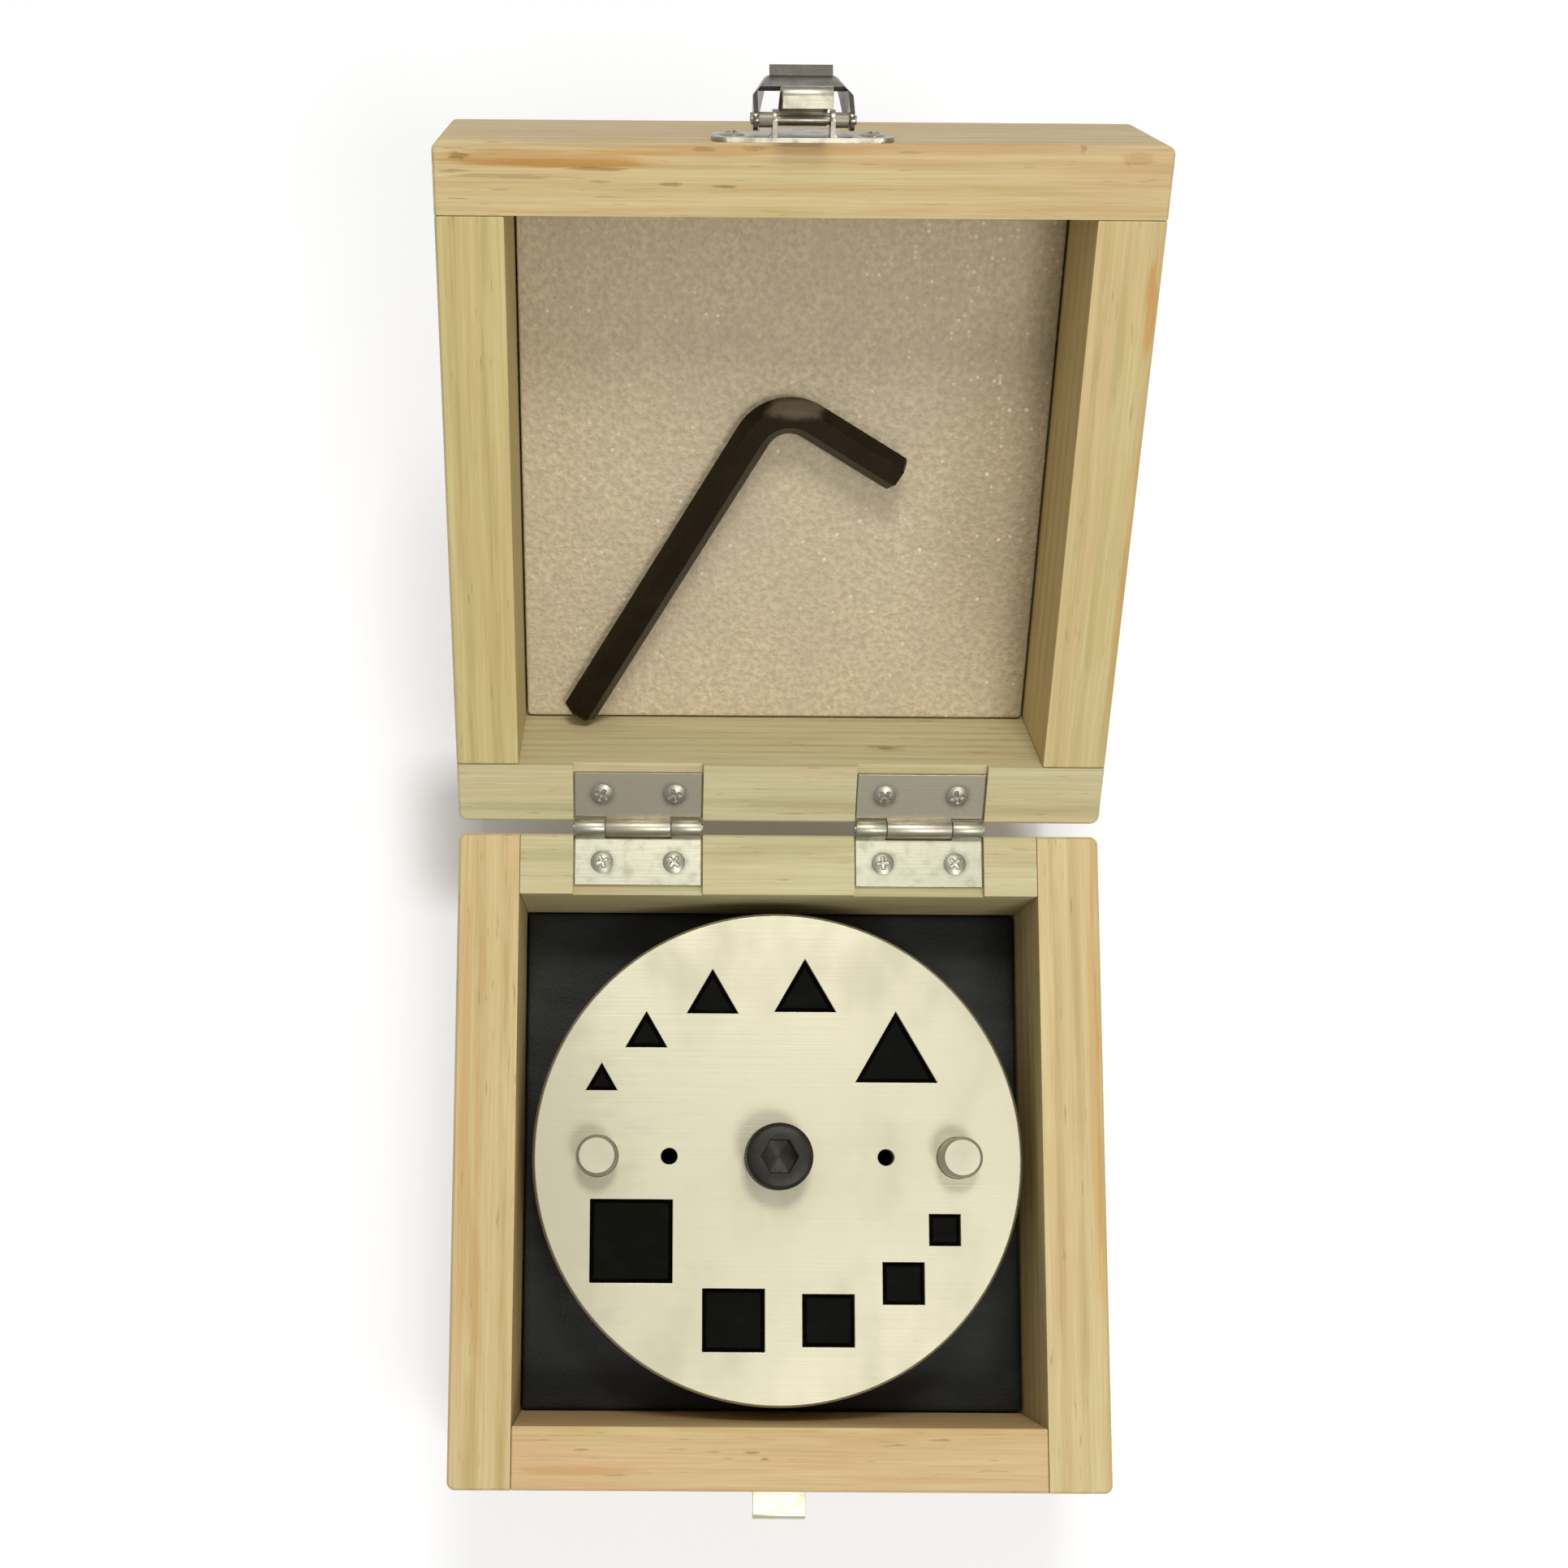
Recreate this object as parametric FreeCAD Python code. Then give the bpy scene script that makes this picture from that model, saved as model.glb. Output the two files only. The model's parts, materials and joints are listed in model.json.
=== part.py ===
"""Jeweller's disc cutter: a round die set with ten shaped punches in a hinged pine case.

Millimetres. The origin is the centre of the case's underside, +X is to the right, +Y runs
back to the hinges and +Z is up. The lid stands open at lid_open_angle.
"""
import math
import os

import FreeCAD
import Part

V = FreeCAD.Vector
X_AXIS = V(1, 0, 0)
Z_AXIS = V(0, 0, 1)
FRONT = V(0, -1, 0)

# --- die set ---
plate_diameter = 96.0
die_thickness = 12.0
guide_thickness = 9.0
plate_chamfer = 0.5
punch_names = ("16", "12", "10", "08", "06")
punch_sizes = (16.0, 12.0, 10.0, 8.0, 6.0)                      # each punch's side
square_angles = (-150.1, -105.3, -72.7, -44.8, -23.2)           # direction of each hole, from +X
square_insets = (15.1, 15.4, 15.1, 13.6, 12.6)                  # its centre, in from the plate's edge
triangle_angles = (39.5, 80.2, 112.4, 137.5, 157.1)
triangle_insets = (17.7, 15.6, 14.5, 13.0, 10.5)
punch_fit = 0.04            # gap on each side of a punch in its hole
punch_below_face = 0.6      # a stored punch ends this far below the guide plate's face
punch_chamfer_share = 0.125 # of the punch's size, and no more than the next value
punch_chamfer = 0.8
guide_pin_diameter = 8.0
guide_pin_in = 12.8         # from the plate's edge
guide_pin_stand = 6.5       # height above the guide plate
guide_pin_chamfer = 0.6
guide_pin_fit = 0.04        # radial, in the guide plate
pilot_diameter = 3.2
pilot_spacing = 42.4

# --- clamping screw, M8 socket cap ---
thread_diameter = 8.0
thread_fit = 0.05
screw_length = 20.0
screw_head_diameter = 13.0
screw_head_height = 8.0
screw_hole_fit = 0.5        # radial, in the guide plate
hex_size = 6.0              # across flats, socket and key
hex_fit = 0.05
socket_depth = 4.6
screw_head_chamfer = 0.7

# --- case ---
plate_side_gap = 3.0        # between the die set and the case walls
plate_below_rim = 5.0
wall = 12.0
floor_thickness = 4.0
lid_panel_thickness = 4.0
lid_inner_depth = 25.0      # from the lid's rim down to its foam
rebate = 6.0                # how far the panels run into the rails
joint_gap = 0.1             # glue line
upright_radius = 1.6
edge_chamfer = 0.5
base_foam_thickness = 20.0
lid_foam_thickness = 5.0
foam_side_gap = 0.4
rim_gap = 0.3               # between lid and base when closed
lid_open_angle = 145.0

# --- butt hinges ---
hinge_in = 35.3             # from the case's side to the middle of a hinge
hinge_width = 25.0
hinge_axis_out = 1.2        # the pin's axis stands this far behind the case's back face
hinge_leaf_reach = 11.3     # from the pin's axis to the leaf's free end
leaf_thickness = 0.8
knuckle_diameter = 3.4
knuckle_wood_gap = 0.3      # between a knuckle and the groove it lies in
end_knuckle_width = 6.0
knuckle_end_gap = 0.1
knuckle_swing_gap = 0.25    # between a knuckle and the cut-back of the other leaf
hinge_pin_diameter = 1.8
hinge_pin_fit = 0.04
hinge_pin_end = 0.2         # stands out of the knuckles at each end
hinge_pocket_gap = 0.25
hinge_screw_spacing = 14.2
hinge_screw_reach = 6.7     # from the pin's axis

# --- wood screws, countersunk ---
wood_screw_head = 4.4
wood_screw_shank = 2.2
wood_screw_length = 9.0     # below the sheet that it holds
wood_screw_fit = 0.04
wood_screw_sides = 12       # facets round the head
wood_shank_sides = 6

# --- toggle latch: heights are measured up from the lid's rim, stand-off out from its front face ---
latch_sheet = 0.8
latch_plate_width = 31.0
latch_plate_low = 0.8
latch_ear_height = 9.0
latch_body_width = 14.0
latch_body_height = 15.0
latch_ear_radius = 2.5
latch_body_radius = 2.0
latch_screw_spacing = 24.0
latch_pin_diameter = 1.5
latch_pin_fit = 0.06
latch_pin_end = 0.4
lever_pivot_height = 3.2
lever_pivot_stand = 3.4
lug_inner = 4.5             # half the clear width between the plate's two lugs
lug_nose_radius = 1.7       # round the lever's pivot
lug_foot_half = 2.4         # half a lug's height where it leaves the plate
lug_bend_radius = 0.9
boss_radius = 1.25          # on the outer side of each lug
boss_outer = 7.6            # half the width over both bosses
latch_side_gap = 0.15
lever_nose_radius = 1.7
lever_plate_gap = 0.25      # between the lever's flanges and the plate
lever_length = 13.5
lever_web_stand = 5.6
lever_web_start = 6.8       # from the lever's pivot
lever_taper_start = 5.2     # from the lever's pivot, where its sides draw in
lever_tip_half = 6.7        # half its width at the finger lip
lever_corner_radius = 1.2
lever_lip_height = 1.8
lever_lip_reach = 1.2
hook_pivot_reach = 3.6      # from the lever's pivot to the hook's
hook_pivot_drop = 1.0       # nearer the lid than the lever's pivot, so that the pull locks past centre
hook_width = 8.4
hook_barrel_radius = 1.4
hook_strap_gap = 0.5        # between the hook's strap and the strike's lip when latched
hook_step_start = 0.4       # below the hook's pivot, where its strap steps out over the lever's pin
hook_step_height = 4.6
hook_step_lag = 0.3         # the step's inner face starts this much lower
hook_bend_inner = 0.8       # radius inside the bend from the strap into the claw
claw_past_lip = 1.3         # how far the claw reaches in behind the strike's lip
claw_rise = 0.8             # its tip turns up this far
hook_rest_angle = -24.0     # hook turned on the lever, from the latched position
lever_rest_angle = 16.0     # lever turned out, from the latched position

# --- strike ---
strike_width = 10.0
strike_sheet = 1.0
strike_stand = 5.5
strike_below_rim = 2.9
strike_lip = 2.5
strike_bend_radius = 1.1
strike_plate_height = 13.6
strike_screw_low = 3.4      # lower screw above the strike plate's foot
strike_screw_pitch = 4.8
claw_gap = 0.15             # between the latched claw and the strike's lip

# --- hex key lying in the lid: places are across the lid and in from the hinge side's outer face ---
key_long = 74.2
key_short = 28.0
key_bend_radius = 8.0
key_chamfer = 0.5
key_end_x = -40.0           # the long arm's free end
key_end_in = 14.2
key_angle = 59.2            # long arm, turned from the lid's width
key_foam_gap = 0.05

# --- places that follow from the sizes above ---
half_inner = plate_diameter / 2 + plate_side_gap
half_outer = half_inner + wall
hinge_place_x = half_outer - hinge_in
guide_pin_x = plate_diameter / 2 - guide_pin_in
foam_top = floor_thickness + base_foam_thickness
die_top = foam_top + die_thickness
guide_top = die_top + guide_thickness
rim = guide_top + plate_below_rim
lid_rim = rim + rim_gap
lid_foam_face = lid_rim + lid_inner_depth
lid_panel_face = lid_foam_face + lid_foam_thickness
lid_top = lid_panel_face + lid_panel_thickness
knuckle_radius = knuckle_diameter / 2
hinge_y = half_outer + hinge_axis_out
hinge_z = rim + rim_gap / 2
hinge_axis_point = V(0, hinge_y, hinge_z)
punch_length = die_thickness + guide_thickness - punch_below_face

# --- how close counts as touching, when an edge is looked up by its place ---
tiny = 1e-6
close = 1e-3


# ---------------------------------------------------------------- helpers
def box(x0, x1, y0, y1, z0, z1):
    return Part.makeBox(x1 - x0, y1 - y0, z1 - z0, V(x0, y0, z0))


def rod(radius, start, along, length):
    return Part.makeCylinder(radius, length, start, along)


def cross_rod(radius, x0, x1, y, z):
    """A round bar along X."""
    return rod(radius, V(x0, y, z), X_AXIS, x1 - x0)


def face_of(points):
    return Part.Face(Part.makePolygon(points + [points[0]]))


def turned(shape, point, angle):
    """A copy turned about an axis along X through the point."""
    copy = shape.copy()
    copy.rotate(point, X_AXIS, angle)
    return copy


def open_lid(shape):
    """From the closed lid's place to the open lid's."""
    return turned(shape, hinge_axis_point, -lid_open_angle)


def clean(shape):
    return shape.removeSplitter()


def save(node, shape):
    shape.exportStep("parts/" + node + ".step")


def side_profile(points, x0, x1):
    """A bar along X whose section is a list of (y, z) corners."""
    return face_of([V(x0, y, z) for y, z in points]).extrude(V(x1 - x0, 0, 0))


def bends(bar, y, z):
    """The edges along X that run through this corner of a bar's section."""
    return [e for e in bar.Edges if all(abs(v.Y - y) + abs(v.Z - z) < close for v in e.Vertexes)]


def polygon_face(centre, reach, sides, z_dir, flat_dir):
    """A regular polygon whose corners are at the reach and with one side square to flat_dir."""
    side_dir = z_dir.cross(flat_dir)
    points = []
    for i in range(sides):
        turn = 2 * math.pi * (i + 0.5) / sides
        points.append(centre + flat_dir * (reach * math.cos(turn)) + side_dir * (reach * math.sin(turn)))
    return face_of(points)


def hexagon(centre, across_flats, z_dir, flat_dir):
    sides = 6
    return polygon_face(centre, across_flats / 2 / math.cos(math.pi / sides), sides, z_dir, flat_dir)


# ---------------------------------------------------------------- die set
def shaped_holes():
    """Each punch's node, with its corners, side, direction and distance in from the plate's edge."""
    holes = []
    for kind, corners, angles, insets in (("square", 4, square_angles, square_insets),
                                          ("triangle", 3, triangle_angles, triangle_insets)):
        for name, size, angle, inset in zip(punch_names, punch_sizes, angles, insets):
            holes.append(("punch_" + kind + "_" + name, corners, size, angle, inset))
    return holes


def punch_outline(corners, size, angle, inset, offset, z):
    """The face of a square, or of a triangle with its point to the back, grown by offset on each side."""
    middle = plate_diameter / 2 - inset
    turn = math.radians(angle)
    centre = V(middle * math.cos(turn), middle * math.sin(turn), z)
    half_turn = math.pi / corners
    reach = size / 2 / math.sin(half_turn) + offset / math.cos(half_turn)
    return polygon_face(centre, reach, corners, Z_AXIS, FRONT)


def punch(corners, size, angle, inset):
    body = punch_outline(corners, size, angle, inset, 0, foam_top).extrude(V(0, 0, punch_length))
    top = foam_top + punch_length
    rim_edges = [e for e in body.Edges if all(abs(v.Z - top) < tiny for v in e.Vertexes)]
    return body.makeChamfer(min(punch_chamfer, size * punch_chamfer_share), rim_edges)


def plain_plate(z0, thickness, outer_z):
    """A round plate with its outer face's edge chamfered; the faces that meet stay sharp."""
    disc = rod(plate_diameter / 2, V(0, 0, z0), Z_AXIS, thickness)
    edges = [e for e in disc.Edges if e.BoundBox.ZLength < tiny and abs(e.BoundBox.ZMin - outer_z) < tiny]
    return disc.makeChamfer(plate_chamfer, edges)


def plate_cuts(z0, thickness, pin_radius, screw_radius):
    """What is cut through both plates: ten shaped holes, the guide pins and the screw."""
    cuts = []
    for node, *hole in shaped_holes():
        cuts.append(punch_outline(*hole, punch_fit, z0).extrude(V(0, 0, thickness)))
    for side in (-1, 1):
        cuts.append(rod(pin_radius, V(side * guide_pin_x, 0, z0), Z_AXIS, thickness))
    cuts.append(rod(screw_radius, V(0, 0, z0), Z_AXIS, thickness))
    return cuts


def die_plate():
    cuts = plate_cuts(foam_top, die_thickness, guide_pin_diameter / 2, thread_diameter / 2 + thread_fit)
    return plain_plate(foam_top, die_thickness, foam_top).cut(cuts)


def guide_plate():
    pin_radius = guide_pin_diameter / 2 + guide_pin_fit
    cuts = plate_cuts(die_top, guide_thickness, pin_radius, thread_diameter / 2 + screw_hole_fit)
    for side in (-1, 1):
        pilot_place = V(side * pilot_spacing / 2, 0, die_top)
        cuts.append(rod(pilot_diameter / 2, pilot_place, Z_AXIS, guide_thickness))
    return plain_plate(die_top, guide_thickness, guide_top).cut(cuts)


def guide_pin(side):
    length = die_thickness + guide_thickness + guide_pin_stand
    pin = rod(guide_pin_diameter / 2, V(side * guide_pin_x, 0, foam_top), Z_AXIS, length)
    top = foam_top + length
    return pin.makeChamfer(guide_pin_chamfer, [e for e in pin.Edges if abs(e.BoundBox.ZMin - top) < tiny])


def clamp_screw():
    shank = rod(thread_diameter / 2, V(0, 0, guide_top - screw_length), Z_AXIS, screw_length)
    head = rod(screw_head_diameter / 2, V(0, 0, guide_top), Z_AXIS, screw_head_height)
    head_top = guide_top + screw_head_height
    head = head.makeChamfer(screw_head_chamfer, [e for e in head.Edges if e.BoundBox.ZMin > head_top - tiny])
    socket_floor = V(0, 0, head_top - socket_depth)
    socket = hexagon(socket_floor, hex_size + 2 * hex_fit, Z_AXIS, FRONT).extrude(V(0, 0, socket_depth))
    return clean(shank.fuse(head)).cut(socket)


# ---------------------------------------------------------------- case
def panel_block(half, z0, z1):
    return box(-half, half, -half, half, z0, z1)


def wall_ring(z0, z1, panel_z0, panel_z1):
    """The four walls of a case half as one ring: outer edges eased, the panel's rebate cut."""
    block = panel_block(half_outer, z0, z1)
    uprights = [e for e in block.Edges if e.BoundBox.ZLength > tiny]
    block = block.makeFillet(upright_radius, uprights)
    level = [e for e in block.Edges if e.BoundBox.ZLength < tiny]
    block = block.makeChamfer(edge_chamfer, level)
    ring = block.cut(panel_block(half_inner, z0, z1))
    return ring.cut(panel_block(half_inner + rebate, panel_z0, panel_z1))


def rails(ring, z0, z1, full_along_y):
    """The ring cut at its butt joints: two long rails and two that stand between them."""
    inner = half_inner - joint_gap
    result = {}
    for side, name in ((-1, "low"), (1, "high")):
        near, far = sorted((side * half_inner, side * half_outer))
        if full_along_y:
            long_zone = box(near, far, -half_outer, half_outer, z0, z1)
            short_zone = box(-inner, inner, near, far, z0, z1)
        else:
            long_zone = box(-half_outer, half_outer, near, far, z0, z1)
            short_zone = box(near, far, -inner, inner, z0, z1)
        result["long_" + name] = ring.common(long_zone)
        result["short_" + name] = ring.common(short_zone)
    return result


def screw_head(place, outward, sheet, fit):
    """The countersunk head, as deep as the sheet it sits in; the place is on the sheet's outer face."""
    wires = []
    for centre, radius in ((place - outward * sheet, wood_screw_shank / 2), (place, wood_screw_head / 2)):
        wires.append(polygon_face(centre, radius + fit, wood_screw_sides, outward, X_AXIS).OuterWire)
    return Part.makeLoft(wires, True, True)


def screw_shank(place, outward, sheet, fit):
    """The part in the wood, six-sided in place of its thread."""
    tip = place - outward * (sheet + wood_screw_length)
    section = polygon_face(tip, wood_screw_shank / 2 + fit, wood_shank_sides, outward, X_AXIS)
    return section.extrude(outward * wood_screw_length)


def wood_screw(place, outward, sheet):
    return screw_head(place, outward, sheet, 0).fuse(screw_shank(place, outward, sheet, 0))


def screw_seats(places, outward, sheet):
    """The countersunk holes in a sheet."""
    return [screw_head(p, outward, sheet, wood_screw_fit) for p in places]


def pilot_holes(places, outward, sheet):
    """The holes in the wood behind the sheet."""
    return [screw_shank(p, outward, sheet, wood_screw_fit) for p in places]


# ---------------------------------------------------------------- hinges, built as they lie with the lid shut
def hinge_screw_places(side, flip):
    """On the outer face of a leaf; flip is 1 for the base leaf and -1 for the lid's."""
    z = hinge_z - flip * (knuckle_radius - leaf_thickness)
    y = hinge_y - hinge_screw_reach
    offsets = (-hinge_screw_spacing / 2, hinge_screw_spacing / 2)
    return [V(side * hinge_place_x + dx, y, z) for dx in offsets]


def hinge_leaf(side, flip):
    """A leaf with its knuckles: the base leaf holds the two end knuckles, the lid leaf the middle one."""
    x0 = side * hinge_place_x - hinge_width / 2
    x1 = x0 + hinge_width
    z_far = hinge_z - flip * knuckle_radius
    z_near = hinge_z - flip * (knuckle_radius - leaf_thickness)
    low, high = sorted((z_far, z_near))
    sheet = box(x0, x1, hinge_y - hinge_leaf_reach, hinge_y, low, high)
    mid0 = x0 + end_knuckle_width + knuckle_end_gap
    mid1 = x1 - end_knuckle_width - knuckle_end_gap
    ends = [(x0, x0 + end_knuckle_width), (x1 - end_knuckle_width, x1)]
    own, other = (ends, [(mid0, mid1)]) if flip > 0 else ([(mid0, mid1)], ends)
    barrels = [cross_rod(knuckle_radius, a, b, hinge_y, hinge_z) for a, b in own]
    clear = knuckle_radius + knuckle_swing_gap
    gap = knuckle_end_gap
    cutbacks = [box(a - gap, b + gap, hinge_y - clear, hinge_y + clear, low, high) for a, b in other]
    leaf = clean(sheet.cut(cutbacks).fuse(barrels))
    bore = cross_rod(hinge_pin_diameter / 2 + hinge_pin_fit, x0, x1, hinge_y, hinge_z)
    outward = V(0, 0, flip)
    return leaf.cut([bore] + screw_seats(hinge_screw_places(side, flip), outward, leaf_thickness))


def hinge_pin(side):
    half = hinge_width / 2 + hinge_pin_end
    middle = side * hinge_place_x
    return cross_rod(hinge_pin_diameter / 2, middle - half, middle + half, hinge_y, hinge_z)


def hinge_cuts(flip):
    """The pockets for both leaves, the deeper grooves for their knuckles and the screws' pilot holes."""
    cuts = []
    z_rim = rim if flip > 0 else lid_rim
    pocket_floor = hinge_z - flip * knuckle_radius
    groove_floor = pocket_floor - flip * knuckle_wood_gap
    groove_front = hinge_y - knuckle_radius - knuckle_wood_gap
    for side in (-1, 1):
        x0 = side * hinge_place_x - hinge_width / 2 - hinge_pocket_gap
        x1 = x0 + hinge_width + 2 * hinge_pocket_gap
        for front, z_floor in ((half_inner, pocket_floor), (groove_front, groove_floor)):
            low, high = sorted((z_floor, z_rim))
            cuts.append(box(x0, x1, front, half_outer, low, high))
        cuts += pilot_holes(hinge_screw_places(side, flip), V(0, 0, flip), leaf_thickness)
    return cuts


# ---------------------------------------------------------------- latch, built latched with the lid shut
def stand(out):
    """The Y of a point that stands off the front face."""
    return -half_outer - out


lever_pivot = V(0, stand(lever_pivot_stand), lid_rim + lever_pivot_height)
hook_pivot = V(0, stand(lever_pivot_stand - hook_pivot_drop), lever_pivot.z + hook_pivot_reach)
lever_half = boss_outer + latch_side_gap + latch_sheet


def latch_screw_places():
    """On the latch plate's outer face."""
    z = lid_rim + latch_plate_low + latch_ear_height / 2
    return [V(side * latch_screw_spacing / 2, stand(latch_sheet), z) for side in (-1, 1)]


def latch_plate():
    low = lid_rim + latch_plate_low
    half = latch_plate_width / 2
    ears = box(-half, half, stand(latch_sheet), stand(0), low, low + latch_ear_height)
    ears = ears.makeFillet(latch_ear_radius, [e for e in ears.Edges if e.BoundBox.YLength > latch_sheet / 2])
    body_half = latch_body_width / 2
    body = box(-body_half, body_half, stand(latch_sheet), stand(0), low, low + latch_body_height)
    corners = [e for e in body.Edges if e.BoundBox.YLength > latch_sheet / 2 and e.BoundBox.ZMin > low + tiny]
    plate = ears.fuse(body.makeFillet(latch_body_radius, corners))
    plate = plate.fuse(latch_lug(-1) + latch_lug(1))
    bore = cross_rod(latch_pin_diameter / 2, -half, half, lever_pivot.y, lever_pivot.z)
    return clean(plate).cut([bore] + screw_seats(latch_screw_places(), FRONT, latch_sheet))


def latch_lug(side):
    """A lug bent up from the plate: its wall, the bend at its foot and the boss that spaces the lever."""
    py, pz = lever_pivot.y, lever_pivot.z
    outer = lug_inner + latch_sheet
    x0, x1 = sorted((side * lug_inner, side * outer))
    foot, nose = lug_foot_half, lug_nose_radius
    wall_points = [(stand(0), pz - foot), (stand(0), pz + foot), (py, pz + nose), (py, pz - nose)]
    lug_wall = side_profile(wall_points, x0, x1).fuse(cross_rod(nose, x0, x1, py, pz))
    radius = lug_bend_radius
    b0, b1 = sorted((side * outer, side * (outer + radius)))
    face_y = stand(latch_sheet)
    bend = box(b0, b1, face_y - radius, face_y, pz - nose, pz + nose)
    bend = bend.cut(rod(radius, V(side * (outer + radius), face_y - radius, pz - nose), Z_AXIS, 2 * nose))
    c0, c1 = sorted((side * outer, side * boss_outer))
    return [lug_wall, bend, cross_rod(boss_radius, c0, c1, py, pz)]


def latch_pin(pivot):
    """A pin across the lever, standing out a little at each side."""
    reach = lever_half + latch_pin_end
    return cross_rod(latch_pin_diameter / 2, -reach, reach, pivot.y, pivot.z)


def lever_plan(inset, past_end):
    """The lever's outline seen from the front, as a block as deep as the latch: straight, then drawn in."""
    pz = lever_pivot.z
    half, tip_half = lever_half - inset, lever_tip_half - inset
    body_length = lever_length - lever_lip_height
    slope = (half - tip_half) / (body_length - lever_taper_start)
    end_half = tip_half - slope * past_end
    low, turn, end = pz - lever_nose_radius, pz + lever_taper_start, pz + body_length + past_end
    points = [(-half, low), (half, low), (half, turn), (end_half, end), (-end_half, end), (-half, turn)]
    depth = lever_web_stand + latch_sheet
    return face_of([V(x, stand(0), z) for x, z in points]).extrude(FRONT * depth)


def lever_outside():
    """The lever as if it were solid: a round nose about the pivot, widening to the web."""
    py, pz = lever_pivot.y, lever_pivot.z
    half, nose = lever_half, lever_nose_radius
    top_y = stand(lever_web_stand + latch_sheet)
    inner_y = stand(latch_sheet + lever_plate_gap)
    web_z, end_z = pz + lever_web_start, pz + lever_length - lever_lip_height
    points = [(py + nose, pz), (inner_y, pz + nose), (inner_y, web_z), (top_y + latch_sheet, end_z)]
    points += [(top_y, end_z), (top_y, web_z), (py - nose, pz)]
    solid = side_profile(points, -half, half).fuse(cross_rod(nose, -half, half, py, pz))
    solid = solid.common(lever_plan(0, 0))
    corners = [e for e in solid.Edges if e.BoundBox.YMax < top_y + close and e.BoundBox.ZLength > latch_sheet]
    return solid.makeFillet(lever_corner_radius, corners)


def latch_lever():
    """A channel open towards the lid, with a web at its finger end and a lip that flares from it."""
    half, web_y = lever_half, stand(lever_web_stand)
    hollow = lever_plan(latch_sheet, latch_sheet)
    low, high, web_z = hollow.BoundBox.ZMin, hollow.BoundBox.ZMax, lever_pivot.z + lever_web_start
    under_web = box(-half, half, web_y, stand(0), low, high)
    before_web = box(-half, half, web_y - latch_sheet, stand(0), low, web_z)
    lever = lever_outside().cut([hollow.common(under_web), hollow.common(before_web)])
    tip_z = lever_pivot.z + lever_length
    end_z = tip_z - lever_lip_height
    lip_points = [(web_y, end_z), (web_y - latch_sheet, end_z)]
    lip_points += [(web_y - latch_sheet - lever_lip_reach, tip_z), (web_y - lever_lip_reach, tip_z)]
    lip_half = lever_tip_half - lever_corner_radius
    lever = clean(lever.fuse(side_profile(lip_points, -lip_half, lip_half)))
    bores = []
    for pivot, fit in ((lever_pivot, latch_pin_fit), (hook_pivot, 0)):
        bores.append(cross_rod(latch_pin_diameter / 2 + fit, -half, half, pivot.y, pivot.z))
    return lever.cut(bores)


def strap_outline():
    """The hook's section as (stand-off, height) from its pivot: strap, step out, claw, upturned tip."""
    sheet = latch_sheet
    pivot_stand = lever_pivot_stand - hook_pivot_drop
    over = strike_stand + hook_strap_gap - pivot_stand
    claw_top = strike_lip_low() - claw_gap - hook_pivot.z
    claw_low = claw_top - sheet
    tip_out = strike_stand - strike_sheet - claw_past_lip - pivot_stand
    tip_top = claw_top + claw_rise
    near = hook_barrel_radius - sheet
    start = -hook_step_start
    step = start - hook_step_height
    outer = [(near + sheet, 0), (near + sheet, start), (over + sheet, step), (over + sheet, claw_low)]
    claw = [(tip_out, claw_low), (tip_out, tip_top), (tip_out + sheet, tip_top), (tip_out + sheet, claw_top)]
    inner = [(over, claw_top), (over, step - hook_step_lag), (near, start - hook_step_lag), (near, 0)]
    return outer + claw + inner


def latch_hook():
    half = hook_width / 2
    points = [(hook_pivot.y - out, hook_pivot.z + up) for out, up in strap_outline()]
    strap = side_profile(points, -half, half)
    barrel = cross_rod(hook_barrel_radius, -half, half, hook_pivot.y, hook_pivot.z)
    hook = clean(strap.fuse(barrel))
    inner_y = stand(strike_stand + hook_strap_gap)
    claw_top = strike_lip_low() - claw_gap
    hook = hook.makeFillet(hook_bend_inner, bends(hook, inner_y, claw_top))
    outer_bend = bends(hook, inner_y - latch_sheet, claw_top - latch_sheet)
    hook = hook.makeFillet(hook_bend_inner + latch_sheet, outer_bend)
    bore_radius = latch_pin_diameter / 2 + latch_pin_fit
    return hook.cut(cross_rod(bore_radius, -half, half, hook_pivot.y, hook_pivot.z))


def strike_top():
    return rim - strike_below_rim


def strike_lip_low():
    return strike_top() - strike_lip


def strike_screw_places():
    """On the strike plate's outer face."""
    foot = strike_top() - strike_plate_height
    heights = (foot + strike_screw_low, foot + strike_screw_low + strike_screw_pitch)
    return [V(0, stand(strike_sheet), z) for z in heights]


def latch_strike():
    """A strip screwed to the base, turned out into a shelf and down into a lip."""
    top = strike_top()
    sheet = strike_sheet
    points = [(stand(0), top - strike_plate_height), (stand(0), top), (stand(strike_stand), top),
              (stand(strike_stand), strike_lip_low()), (stand(strike_stand - sheet), strike_lip_low()),
              (stand(strike_stand - sheet), top - sheet), (stand(sheet), top - sheet),
              (stand(sheet), top - strike_plate_height)]
    strike = side_profile(points, -strike_width / 2, strike_width / 2)
    strike = strike.makeFillet(strike_bend_radius, bends(strike, stand(strike_stand), top))
    return strike.cut(screw_seats(strike_screw_places(), FRONT, sheet))


def rest_lever(shape):
    return open_lid(turned(shape, lever_pivot, lever_rest_angle))


def rest_hook(shape):
    return rest_lever(turned(shape, hook_pivot, hook_rest_angle))


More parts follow.
